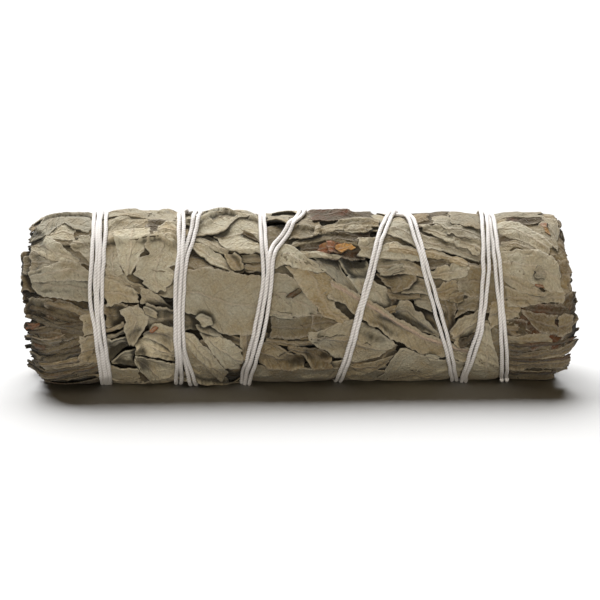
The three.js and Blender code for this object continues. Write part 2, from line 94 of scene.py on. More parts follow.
TURN, RISE = math.radians(-SEEN_FROM_LEFT), math.radians(SEEN_FROM_ABOVE)
ROLL = math.radians(CAMERA_ROLL)
TOWARDS_CAMERA = np.array([math.sin(TURN) * math.cos(RISE), -math.cos(TURN) * math.cos(RISE), math.sin(RISE)])
LEVEL = np.array([math.cos(TURN), math.sin(TURN), 0])
UPRIGHT = np.cross(TOWARDS_CAMERA, LEVEL)
TO_THE_RIGHT = LEVEL * math.cos(ROLL) + UPRIGHT * math.sin(ROLL)
TO_THE_TOP = UPRIGHT * math.cos(ROLL) - LEVEL * math.sin(ROLL)


def seen_in_front(points):
    """Where points fall in the front view, in pixels."""
    offset = points - AIMED_AT
    scale = FOCAL_PIXELS / (CAMERA_DISTANCE - offset @ TOWARDS_CAMERA)
    middle = PICTURE_SIZE / 2
    return middle + scale * (offset @ TO_THE_RIGHT), middle - scale * (offset @ TO_THE_TOP)


def from_front(px, py):
    """A spot in the front view to x and angle on the bunch, guessed and then corrected by where it shows."""
    px, py = np.asarray(px, float), np.asarray(py, float)
    shift_x, shift_y = 0 * px, 0 * py
    for _ in range(6):
        across = (px + shift_x - SEEN_MIDDLE[0]) / PIXELS_PER_MM
        up = (SEEN_MIDDLE[1] - py - shift_y) / PIXELS_PER_MM
        share = (up - 0.4 - SEEN_RISE * across) / SURFACE_RADIUS
        held = np.clip(share, -RIM_SHARE, RIM_SHARE)
        angle = SEEN_FROM_ABOVE + np.degrees(np.arcsin(held)) + DEGREES_PAST_RIM * (share - held)
        forward = SURFACE_RADIUS * np.cos(np.radians(angle))
        x = (across + forward * math.sin(TURN)) / math.cos(TURN)
        seen_x, seen_y = seen_in_front(on_bunch(x, angle, SURFACE_RADIUS - 0.12 + 0 * x))
        shift_x = np.clip(shift_x + px - seen_x, -15, 15)
        shift_y = np.clip(shift_y + py - seen_y, -9, 9)
    return x, angle


def ripple(p, q, shift):
    """Smooth noise from -1 to 1."""
    p = np.asarray(p, float) + 31.7 * shift + 500
    q = np.asarray(q, float) + 17.3 * shift + 500
    i = np.floor(p).astype(int)
    j = np.floor(q).astype(int)
    f = p - i
    g = q - j
    f = f * f * (3 - 2 * f)
    g = g * g * (3 - 2 * g)
    i0, i1, j0, j1 = i % 256, (i + 1) % 256, j % 256, (j + 1) % 256
    low = LATTICE[i0, j0] * (1 - f) + LATTICE[i1, j0] * f
    high = LATTICE[i0, j1] * (1 - f) + LATTICE[i1, j1] * f
    return low * (1 - g) + high * g


def creases(p, q, shift):
    """Sharp folded lines, 0 between them and 1 on them."""
    return 1 - np.abs(ripple(p, q, shift)) * 2.2


def smooth_step(low, high, value):
    """0 below the low value, 1 above the high one, and an even rise between."""
    t = np.clip((value - low) / (high - low), 0, 1)
    return t * t * (3 - 2 * t)


def cells_at(x, angle):
    """The row and column of the cover that hold each point."""
    row = np.clip(np.round((x + EDGE) / CELL).astype(int), 0, ROWS - 1)
    return row, np.round(angle / DEGREES).astype(int) % COLUMNS


def starting_cover():
    """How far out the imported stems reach, lower at the ends and in the bare corner."""
    x = np.arange(ROWS) * CELL - EDGE
    start = np.zeros((ROWS, COLUMNS))
    start[:] = (WRAP_START - smooth_step(28, 36, abs(x)))[:, None]
    low, high = [int(round(angle / DEGREES)) % COLUMNS for angle in BARE[1:]]
    start[:int((BARE[0] + 3 + EDGE) / CELL), np.r_[low:COLUMNS, 0:high]] = BARE_START
    return start


cover = starting_cover()


def sample(field, x, angle):
    """A field's value at points on the surface."""
    i = np.clip((x + EDGE) / CELL, 0, ROWS - 1.001)
    j = (angle / DEGREES) % COLUMNS
    i0 = np.floor(i).astype(int)
    j0 = np.floor(j).astype(int)
    f, g = i - i0, j - j0
    j0 %= COLUMNS
    j1 = (j0 + 1) % COLUMNS
    low = field[i0, j0] * (1 - f) + field[i0 + 1, j0] * f
    high = field[i0, j1] * (1 - f) + field[i0 + 1, j1] * f
    return low * (1 - g) + high * g


def reach(x, angle):
    """The highest that the leaves have come right round each point."""
    return np.maximum.reduce([sample(cover, x + along * CELL / 2, angle + round_it * DEGREES / 2)
                              for along in (-1, 1) for round_it in (-1, 1)])


def raise_cover(x, angle, height):
    """Makes the cover at least as high as the points of a leaf that has been laid."""
    row, column = cells_at(x, angle)
    np.maximum.at(cover, (row.ravel(), column.ravel()), height.ravel())


def spread(field, cells):
    """The highest value within a few cells."""
    for axis in (0, 1):
        best = field.copy()
        for shift in range(1, cells + 1):
            best = np.maximum(best, np.maximum(np.roll(field, shift, axis), np.roll(field, -shift, axis)))
        field = best
    return field


def blurred(field, cells):
    """The mean within a few cells, taken twice."""
    for _ in range(2):
        for axis in (0, 1):
            wide = sum(np.roll(field, shift, axis) for shift in range(-cells, cells + 1))
            field = wide / (2 * cells + 1)
    return field


# Where each pass of the string crosses these heights of the front view, in the order it is wound.
SEEN_HEIGHTS = (212, 228, 244, 260, 280, 302, 330, 354, 376, 392)
STRING_PASSES = [
    (97, 95.5, 95, 94, 92.5, 92.5, 97, 100, 104, 106),
    (104, 103, 102.3, 101.5, 100.3, 99.5, 101, 104, 107, 109),
    (198.5, 194, 188.5, 184, 182, 181, 180.5, 182.5, 190.5, 198),
    (262, 263, 264, 265, 266, 262.5, 257, 252, 246, 240),
    (406, 415, 420.5, 424.5, 429.5, 435.5, 443, 449.5, 453.5, 456),
    (490.5, 493, 495.5, 497.5, 499.5, 501, 503.5, 504.5, 504, 504),
    (483, 485, 486.3, 486.5, 486, 484, 480, 473, 464.5, 459),
    (390.5, 383, 378, 374, 369.5, 363.5, 356, 350, 341, 333),
    (302, 289, 275.5, 270.7, 270, 267, 262, 256, 249, 243),
    (181, 181.3, 181.3, 180.5, 178.5, 177.5, 177, 178.5, 179, 178),
]
KNOT = (-36.4, 190)


def eased(values, points):
    """A line of values with its corners rounded over a few points either way."""
    span = 2 * points + 1
    for _ in range(2):
        values = np.convolve(np.pad(values, points, mode="edge"), np.ones(span) / span, mode="valid")
    return values


def string_route():
    """The whole winding as x and falling angle, with its points a string step apart."""
    x, fallen = [KNOT[0]], [-KNOT[1]]
    for number, across in enumerate(STRING_PASSES):
        seen_x, angle = from_front(across, SEEN_HEIGHTS)
        x += list(seen_x)
        fallen += list(360 * number - angle)
    x.append(KNOT[0] + 1.4)
    fallen.append(360 * len(STRING_PASSES) - KNOT[1])
    degrees = 0.5
    even = np.arange(fallen[0], fallen[-1], degrees)
    x = eased(np.interp(even, fallen, x), 9)
    run = np.concatenate([[0], np.cumsum(np.hypot(np.diff(x), degrees * MM_PER_DEGREE))])
    places = np.arange(0, run[-1], STRING_STEP)
    return np.stack([np.interp(places, run, x), -np.interp(places, run, even)], axis=1)


def drawn_in_by(route):
    """How much the string draws the leaves in, sharply under it and softly to either side."""
    apart = np.full((ROWS, COLUMNS), 99.0)
    for offset in np.arange(-8, 8.01, CELL):
        np.minimum.at(apart, cells_at(route[:, 0] + offset, route[:, 1]), abs(offset))
    apart = blurred(apart, 1)
    return 0.55 * np.exp(-(apart / 1.2) ** 2) + 0.3 * np.exp(-(apart / 5) ** 2)


route = string_route()
drawn_in = drawn_in_by(route)


class Piece:
    """Gathers the grids of many leaves into one mesh. Leaves wait here until all of them have been laid."""

    def __init__(self):
        self.points, self.faces, self.flat, self.tone, self.rim, self.painted_shade = [], [], [], [], [], []
        self.count = 0
        self.waiting = []

    def add_sheet(self, top, under, flat, tone, rim, painted_shade=None, midrib=0):
        """A leaf's top and under side, closed all round their edge."""
        rows, columns = top.shape[:2]
        index = np.arange(rows * columns).reshape(rows, columns) + self.count
        below = index + rows * columns
        self.count += 2 * rows * columns
        quads = [np.stack([index[:-1, :-1], index[1:, :-1], index[1:, 1:], index[:-1, 1:]], -1),
                 np.stack([below[:-1, :-1], below[:-1, 1:], below[1:, 1:], below[1:, :-1]], -1)]
        for a, b in ((index[:, 0], below[:, 0]), (index[-1], below[-1]),
                     (index[::-1, -1], below[::-1, -1]), (index[0, ::-1], below[0, ::-1])):
            quads.append(np.stack([a[:-1], b[:-1], b[1:], a[1:]], -1))
        self.faces += [q.reshape(-1, 4) for q in quads]
        self.points += [top.reshape(-1, 3), under.reshape(-1, 3)]
        self.flat += [np.column_stack([flat.reshape(-1, 2), np.full(rows * columns, midrib)])] * 2
        self.tone += [np.broadcast_to(tone, (2 * rows * columns, 3))]
        self.rim += [rim.ravel()] * 2
        # painted shade: the top side is darkened where other leaves cover it, the under side all over
        top_painted_shade = np.zeros(rows * columns) if painted_shade is None else painted_shade.ravel()
        self.painted_shade += [top_painted_shade, np.ones(rows * columns)]

    def add_tube(self, points, flat, tone, rim):
        """A closed tube from rings of points, with both ends filled."""
        rows, columns = points.shape[:2]
        index = np.arange(rows * columns).reshape(rows, columns) + self.count
        following = np.roll(index, -1, axis=1)
        self.count += rows * columns
        self.faces.append(np.stack([index[:-1], following[:-1], following[1:], index[1:]], -1).reshape(-1, 4))
        for ring in (index[0][::-1], index[-1]):
            for k in range(1, len(ring) - 2, 2):
                self.faces.append(np.array([[ring[0], ring[k], ring[k + 1], ring[k + 2]]]))
        self.points.append(points.reshape(-1, 3))
        self.flat.append(np.column_stack([flat.reshape(-1, 2), np.zeros(rows * columns)]))
        self.tone.append(np.broadcast_to(tone, (rows * columns, 3)))
        self.rim.append(rim.ravel())
        self.painted_shade.append(np.zeros(rows * columns))

    def build(self, name, nodes, slot, material):
        """Makes the mesh, in metres, with what the leaf materials read from each point."""
        points = np.concatenate(self.points) * 0.001
        faces = np.concatenate(self.faces)
        mesh = bpy.data.meshes.new(name)
        mesh.vertices.add(len(points))
        mesh.vertices.foreach_set("co", points.ravel())
        mesh.loops.add(faces.size)
        mesh.loops.foreach_set("vertex_index", faces.ravel())
        mesh.polygons.add(len(faces))
        mesh.polygons.foreach_set("loop_start", np.arange(len(faces)) * 4)
        mesh.update(calc_edges=True)
        mesh.validate()
        mesh.polygons.foreach_set("use_smooth", np.ones(len(mesh.polygons), bool))
        for label, kind, field, values in (("leaf_plane", "FLOAT_VECTOR", "vector", self.flat),
                                           ("leaf_tone", "FLOAT_VECTOR", "vector", self.tone),
                                           ("leaf_rim", "FLOAT", "value", self.rim),
                                           ("leaf_painted_shade", "FLOAT", "value", self.painted_shade)):
            made = mesh.attributes.new(label, kind, "POINT")
            made.data.foreach_set(field, np.concatenate(values).ravel())
        made = bpy.data.objects.new(name, mesh)
        bpy.context.collection.objects.link(made)
        mesh.materials.append(material)
        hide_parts(*nodes)
        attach(made, "root")
        return made


def sheet_normals(points):
    """Which way each point of a leaf faces. Points at its closed ends take after the middle."""
    along = np.gradient(points, axis=0)
    across = np.gradient(points, axis=1)
    normal = np.cross(along, across)
    size = np.linalg.norm(normal, axis=-1, keepdims=True)
    good = normal / np.maximum(size, 1e-9)
    middle = points.shape[1] // 2
    return np.where(size > 1e-6, good, good[:, middle:middle + 1])


POINTED = (1.5, 1.05, 0.0)  # how late it narrows, how round it is, how much is left at the end
ROUND = (2.2, 2.0, 0.0)
TORN = (3.0, 1.6, 0.62)
WIDEST = 0.45  # how far along a leaf that is given by its ends is widest


def half_widths(u, leaf):
    """Half a leaf's width from base to tip."""
    before = np.clip(1 - u / WIDEST, 0, 1)
    after = np.clip((u - WIDEST) / (1 - WIDEST), 0, 1)
    result = np.empty_like(u)
    for side, t in (("base", before), ("tip", after)):
        power, roundness, left = leaf[side]
        shape = left + (1 - left) * np.clip(1 - t ** power, 0, 1) ** (1 / roundness)
        here = (u <= WIDEST) if side == "base" else (u > WIDEST)
        result = np.where(here, shape, result)
    return np.maximum(result * leaf["width"] / 2, 0.03)


def edges_of(leaf):
    """Both long edges of a leaf that is given by its ends, width and bow, on the unrolled surface in mm."""
    start, end = [np.array([x, angle * MM_PER_DEGREE]) for x, angle in (leaf["start"], leaf["end"])]
    u = np.linspace(0, 1, 33)[:, None]
    ahead = end - start
    sideways = np.array([-ahead[1], ahead[0]]) / np.hypot(*ahead)
    centre = start + ahead * u + sideways * leaf.get("bow", 0) * np.sin(np.pi * u)
    half = half_widths(u, leaf) * sideways
    return centre - half, centre + half


def seen_edge(places):
    """An edge given in the front view, on the unrolled surface in mm."""
    x, angle = from_front(*np.array(places, float).T)
    return np.stack([x, angle * MM_PER_DEGREE], 1)


def along_edge(edge, u):
    """Places spread along an edge, its corners eased a little."""
    run = np.concatenate([[0], np.cumsum(np.hypot(*np.diff(edge, axis=0).T))])
    at = u * run[-1]
    result = np.stack([np.interp(at, run, edge[:, 0]), np.interp(at, run, edge[:, 1])], 1)
    for _ in range(3):
        result[1:-1] = (result[:-2] + 2 * result[1:-1] + result[2:]) / 4
    return result


def finer(grid, times=3):
    """A grid with more points between its own, for filling the cover without holes."""
    i = np.linspace(0, grid.shape[0] - 1, (grid.shape[0] - 1) * times + 1)
    j = np.linspace(0, grid.shape[1] - 1, (grid.shape[1] - 1) * times + 1)
    row = np.minimum(i.astype(int), grid.shape[0] - 2)
    column = np.minimum(j.astype(int), grid.shape[1] - 2)
    f, g = (i - row)[:, None], (j - column)[None, :]
    a, b = grid[row][:, column], grid[row + 1][:, column]
    c, d = grid[row][:, column + 1], grid[row + 1][:, column + 1]
    return (a * (1 - f) + b * f) * (1 - g) + (c * (1 - f) + d * f) * g


def leaf_rows(edges, detail):
    """Both edges at rows from base to tip, closer together near the ends, and the number of columns."""
    even = [along_edge(edge, np.linspace(0, 1, 30)) for edge in edges]
    length = np.hypot(*np.diff((even[0] + even[1]) / 2, axis=0).T).sum()
    width = np.hypot(*(even[1] - even[0]).T).max()
    s = np.linspace(0, 1, max(10, int(length / detail)) + 1)
    u = 0.6 * s + 0.4 * (0.5 - 0.5 * np.cos(np.pi * s))
    return u, along_edge(edges[0], u), along_edge(edges[1], u), max(6, int(width / detail / 2) * 2)


def torn_half_width(along, side, half, torn, seed):
    """Half the width at each point, with the fine teeth and torn bites of a dry leaf's edge."""
    teeth = 0.08 * np.sin(along * 5.2 + seed + side) + 0.22 * ripple(along / 1.1, side, seed)
    bites = torn * 3.0 * smooth_step(0.35, 0.9, ripple(along / 2.6, side, seed + 3))
    bites += torn * 1.2 * smooth_step(0.2, 0.9, ripple(along / 0.9, side, seed + 9))
    return np.maximum(half + teeth * np.minimum(half / 2, 1) - np.minimum(bites, half * 0.5), 0.02)


def curled(v, edge, roll):
    """How far across and how high each point lies: edges curled up, or arched where the roll is below 0."""
    if roll > 0:
        return edge * np.sin(v * roll) / math.sin(roll), edge / math.sin(roll) * (1 - np.cos(v * roll))
    return v * edge, edge * (-roll) * 0.5 * (1 - v ** 2)


def at_rest(x, angle, reached, stiff):
    """The height at which a leaf rests on those below it. A stiffer one bridges more of their hollows."""
    lying_on = reached + LEAF_CLEARANCE
    height = np.maximum(sample(blurred(spread(cover, 2), 3), x, angle), lying_on)
    for _ in range(stiff):
        padded = np.pad(height, 1, mode="edge")
        mean = (padded[2:, 1:-1] + padded[:-2, 1:-1] + padded[1:-1, 2:] + padded[1:-1, :-2]) / 4
        height = np.maximum(mean, lying_on)
    return height


def pressed_in(height, x):
    """Leaves that stand out too far are pressed closer together, the more so at the ends."""
    full = FULL - 2.6 * smooth_step(-43.5, -51, x) - 0.8 * smooth_step(46, 51, x)
    return np.where(height > full, full + (height - full) * 0.45, height)


def lay_leaf(piece, edges, look, detail):
    """Drapes one leaf over the leaves below it. Its two long edges run from base to tip."""
    seed = rng.uniform(0, 400)
    u, right, left, columns = leaf_rows(edges, detail)
    centre, apart = (right + left) / 2, left - right
    ahead = np.gradient(centre, axis=0)
    ahead /= np.maximum(np.hypot(*ahead.T), 1e-6)[:, None]
    if (ahead[:, 0] * apart[:, 1] - ahead[:, 1] * apart[:, 0]).sum() < 0:
        apart = -apart
    half = np.hypot(*apart.T)[:, None] / 2
    sideways = apart / (2 * np.maximum(half, 0.15))
    along = np.concatenate([[0], np.cumsum(np.hypot(*np.diff(centre, axis=0).T))])[:, None]
    u, v, along = np.broadcast_arrays(u[:, None], np.linspace(-1, 1, columns + 1)[None, :], along)
    side = np.where(v < 0, 3.0, 8.0)  # which line of noise each side's edge follows
    near_base, near_tip = 1 - smooth_step(0, 0.25, u), smooth_step(0.75, 1, u)

    edge = torn_half_width(along, side, half, look.get("torn", 0.25), seed)
    across, lift = curled(v, edge, look.get("roll", 0.12))
    jag = 1.0 * ripple(v * edge / 1.3, 2.0, seed + 5) + 0.5 * ripple(v * edge / 0.5, 4.0, seed + 6)
    shift = jag * (near_base * look.get("base_jag", 0.6) + near_tip * look.get("tip_jag", 0.6))
    place = centre[:, None] + sideways[:, None] * across[..., None] + ahead[:, None] * shift[..., None]
    x, angle = place[..., 0], place[..., 1] / MM_PER_DEGREE
    furthest = HALF_LENGTH - 3 * (x > 0) * smooth_step(0.15, 0.7, np.sin(np.radians(angle)))
    x = np.where(abs(x) > furthest, np.sign(x) * (furthest + (abs(x) - furthest) * 0.4), x)
    along = along + shift

    rib_at = look.get("rib_at", 0) * half
    relief = lift + look.get("crumple", 0.3) * (
        0.55 * creases(along / 6.5, across / 4.5, seed)
        + 0.35 * creases(along / 2.6 + across / 7, across / 2.4, seed + 1)
        + 0.12 * ripple(along / 0.9, across / 0.9, seed + 2))
    relief += look.get("fold", 0) * (1 - np.abs(v)) * np.minimum(edge, 3)
    relief += look.get("grooves", 0) * creases(across / 1.8, along / 11, seed + 8)
    relief += look.get("edge_lift", 0.36) * smooth_step(0.62, 1, np.abs(v)) * (
        1 + ripple(along / 2.2, side, seed + 4))
    relief += 0.25 * near_tip + 0.1 * near_base
    relief += look.get("rib", 0.14) * np.exp(-((across - rib_at) / 0.42) ** 2) * (1 - 0.6 * u)
    reached = reach(x, angle)
    height = at_rest(x, angle, reached, look.get("stiff", 6)) + relief - relief.min() * 0.8
    height = pressed_in(np.maximum(height, reached + LEAF_CLEARANCE) + LEAF_THICKNESS, x)
    height = np.maximum(height, reached + 0.05)

    ends = np.minimum(along, along.max() - along)
    rim = np.maximum(smooth_step(-0.7, 0, np.abs(v) * edge - edge), 1 - smooth_step(0, 0.6, ends))
    rim = rim * smooth_step(0.5, 1.8, half)
    tone = look.get("tone", 0.3) + rng.uniform(-0.06, 0.06)
    shade = look.get("shade", 0.5) + rng.uniform(-0.1, 0.1)
    raise_cover(finer(x), finer(angle), finer(height))
    piece.waiting.append((x, angle, height, np.stack([along, v * half - rib_at], axis=-1),
                          (tone, shade, seed % 1), rim, look.get("midrib", 0)))


def press_and_add(piece):
    """Draws the laid leaves in under the string, presses them flat on the table, and paints shade where
    leaves lie close above.
    """
    above = blurred(spread(cover, 2), 1)
    close_above = blurred(spread(cover, 1), 1)
    for x, angle, height, flat, tone, rim, midrib in piece.waiting:
        top = pressed_points(x, angle, height)
        under = top - sheet_normals(top) * LEAF_THICKNESS
        # painted shade, the deeper the further other leaves lie above, most of all just beside their edges
        painted_shade = smooth_step(0.3, 1.2, sample(above, x, angle) - height)
        painted_shade = np.maximum(painted_shade, 0.9 * smooth_step(0.18, 0.6, sample(close_above, x, angle) - height))
        piece.add_sheet(top, under, flat, tone, rim, painted_shade, midrib)


def pressed_points(x, angle, height):
    """Points of a leaf, drawn in by the string and flattened softly where they would pass the table."""
    points = on_bunch(x, angle, height - sample(drawn_in, x, angle))
    points[..., 2] = TABLE_SOFTNESS * np.logaddexp(0, points[..., 2] / TABLE_SOFTNESS)
    return points


# How a leaf lies: what lay_leaf reads, where it isn't the usual value.
SMOOTH = dict(crumple=0.22, torn=0.12, stiff=18, rib=0.1)
LIFTED = dict(SMOOTH, edge_lift=0.5)
PLAIN = dict(crumple=0.42, torn=0.25)
CRUMPLED = dict(crumple=0.75, torn=0.5, rib=0.05)
ROLLED = dict(crumple=0.14, torn=0.1, roll=-1.0, rib=0.0)
CURLED = dict(crumple=0.3, torn=0.3, roll=0.9, edge_lift=0.5)
STRIP = dict(crumple=0.2, torn=0.2, roll=0.7, rib=0.0, edge_lift=0.1)
PEBBLED = dict(crumple=0.3, torn=0.3, rib=0.05)
RIBBED = dict(crumple=0.18, torn=0.1, rib=0.5, rib_at=0.55, midrib=1, tip_jag=0.3)

# Leaves of the front, undermost first: both long edges in the front view, how the leaf lies, its tone from
# pale through tan to brown, rust and gold, and its shade from dark to light. The shade also holds painted
# shade
# and light: the darkest leaves stand for the shade in gaps and hollows, and the top leaves are set darker and
# the low front ones lighter for how the light falls on them.
CORNER_LEAVES = [
    # left end, the browned leaf ends that stand out
    ([(20, 300), (40, 300), (70, 306)], [(19, 270), (40, 268), (70, 270)], CRUMPLED, 0.9, 0.1),
    ([(19, 290), (32, 291), (50, 288)], [(20, 238), (36, 236), (55, 240)], CRUMPLED, 0.8, 0.18),
    ([(22, 268), (35, 270), (56, 267)], [(22, 243), (37, 246), (57, 258)], PLAIN, 0.5, 0.07),
    # left end, bare corner
    ([(33, 335), (60, 340), (104, 345)], [(29, 296), (60, 292), (104, 300)], PLAIN, 0.8, -0.2),
    ([(36, 375), (60, 378), (104, 380)], [(31, 325), (60, 325), (104, 335)], PLAIN, 0.78, -0.15),
    ([(46, 396), (70, 396), (110, 396)], [(37, 362), (60, 360), (106, 365)], PLAIN, 0.78, -0.1),
    ([(27, 322), (38, 325), (50, 320)], [(26, 298), (38, 297), (50, 298)], CRUMPLED, 0.7, -0.3),
    ([(48, 312), (64, 318), (84, 326)], [(44, 297), (62, 300), (92, 307)], PLAIN, 0.84, 0.01),
    ([(48, 316), (65, 322), (82, 329)], [(47, 312), (66, 318), (83, 325)], STRIP, 0.64, 0.16),
    ([(55, 333), (64, 342), (82, 337)], [(47, 315), (60, 321), (83, 328)], PLAIN, 0.89, 0.05),
    ([(27, 337), (42, 340), (62, 339)], [(26, 327), (39, 323), (49, 313)], CRUMPLED, 0.99, 0.08),
    ([(26, 335), (33, 335), (38, 332)], [(26, 328), (32, 326), (38, 325)], STRIP, 1.45, 0.16),
    ([(36, 338), (50, 340), (63, 339)], [(37, 331), (46, 326), (57, 326)], PLAIN, 0.84, 0.08),
    ([(30, 352), (45, 352), (58, 348)], [(29, 338), (42, 338), (58, 340)], CRUMPLED, 0.75, -0.3),
    ([(40, 344), (50, 347), (61, 342)], [(39, 338), (50, 340), (62, 337)], PLAIN, 0.49, 0.16),
    ([(32, 362), (55, 362), (82, 352)], [(31, 350), (55, 350), (82, 343)], PLAIN, 0.94, -0.06),
    ([(36, 354), (40, 354), (46, 352)], [(35, 348), (40, 348), (46, 347)], STRIP, 1.05, 0.05),
    ([(40, 361), (60, 353), (83, 344)], [(38, 355), (60, 346), (82, 337)], ROLLED, 0.64, 0.16),
    ([(46, 364), (62, 358), (84, 350)], [(44, 360), (62, 353), (83, 346)], ROLLED, 0.69, 0.12),
    ([(36, 370), (60, 366), (84, 362)], [(35, 361), (60, 359), (84, 352)], PLAIN, 0.89, 0.01),
    ([(33, 374), (44, 375), (60, 373)], [(32, 359), (44, 358), (60, 362)], CRUMPLED, 0.64, 0.12),
    ([(45, 378), (60, 379), (84, 374)], [(45, 366), (60, 364), (84, 362)], PLAIN, 0.59, 0.16),
    ([(46, 380), (56, 381), (64, 378)], [(47, 372), (56, 371), (64, 370)], CRUMPLED, 0.75, -0.3),
    ([(42, 385), (66, 384), (100, 378)], [(40, 377), (62, 379), (98, 370)], STRIP, 0.69, 0.12),
    ([(66, 380), (84, 376), (99, 373)], [(68, 374), (84, 368), (99, 364)], STRIP, 0.54, 0.19),
    ([(48, 390), (74, 390), (106, 388)], [(44, 383), (72, 384), (104, 377)], STRIP, 0.79, 0.08),
    ([(37, 384), (44, 385), (52, 383)], [(36, 377), (44, 377), (52, 378)], CRUMPLED, 0.84, 0.05),
    ([(82, 319), (75, 313), (61, 307)], [(89, 314), (78, 306), (62, 302)], ROLLED, 0.74, 0.26),
]

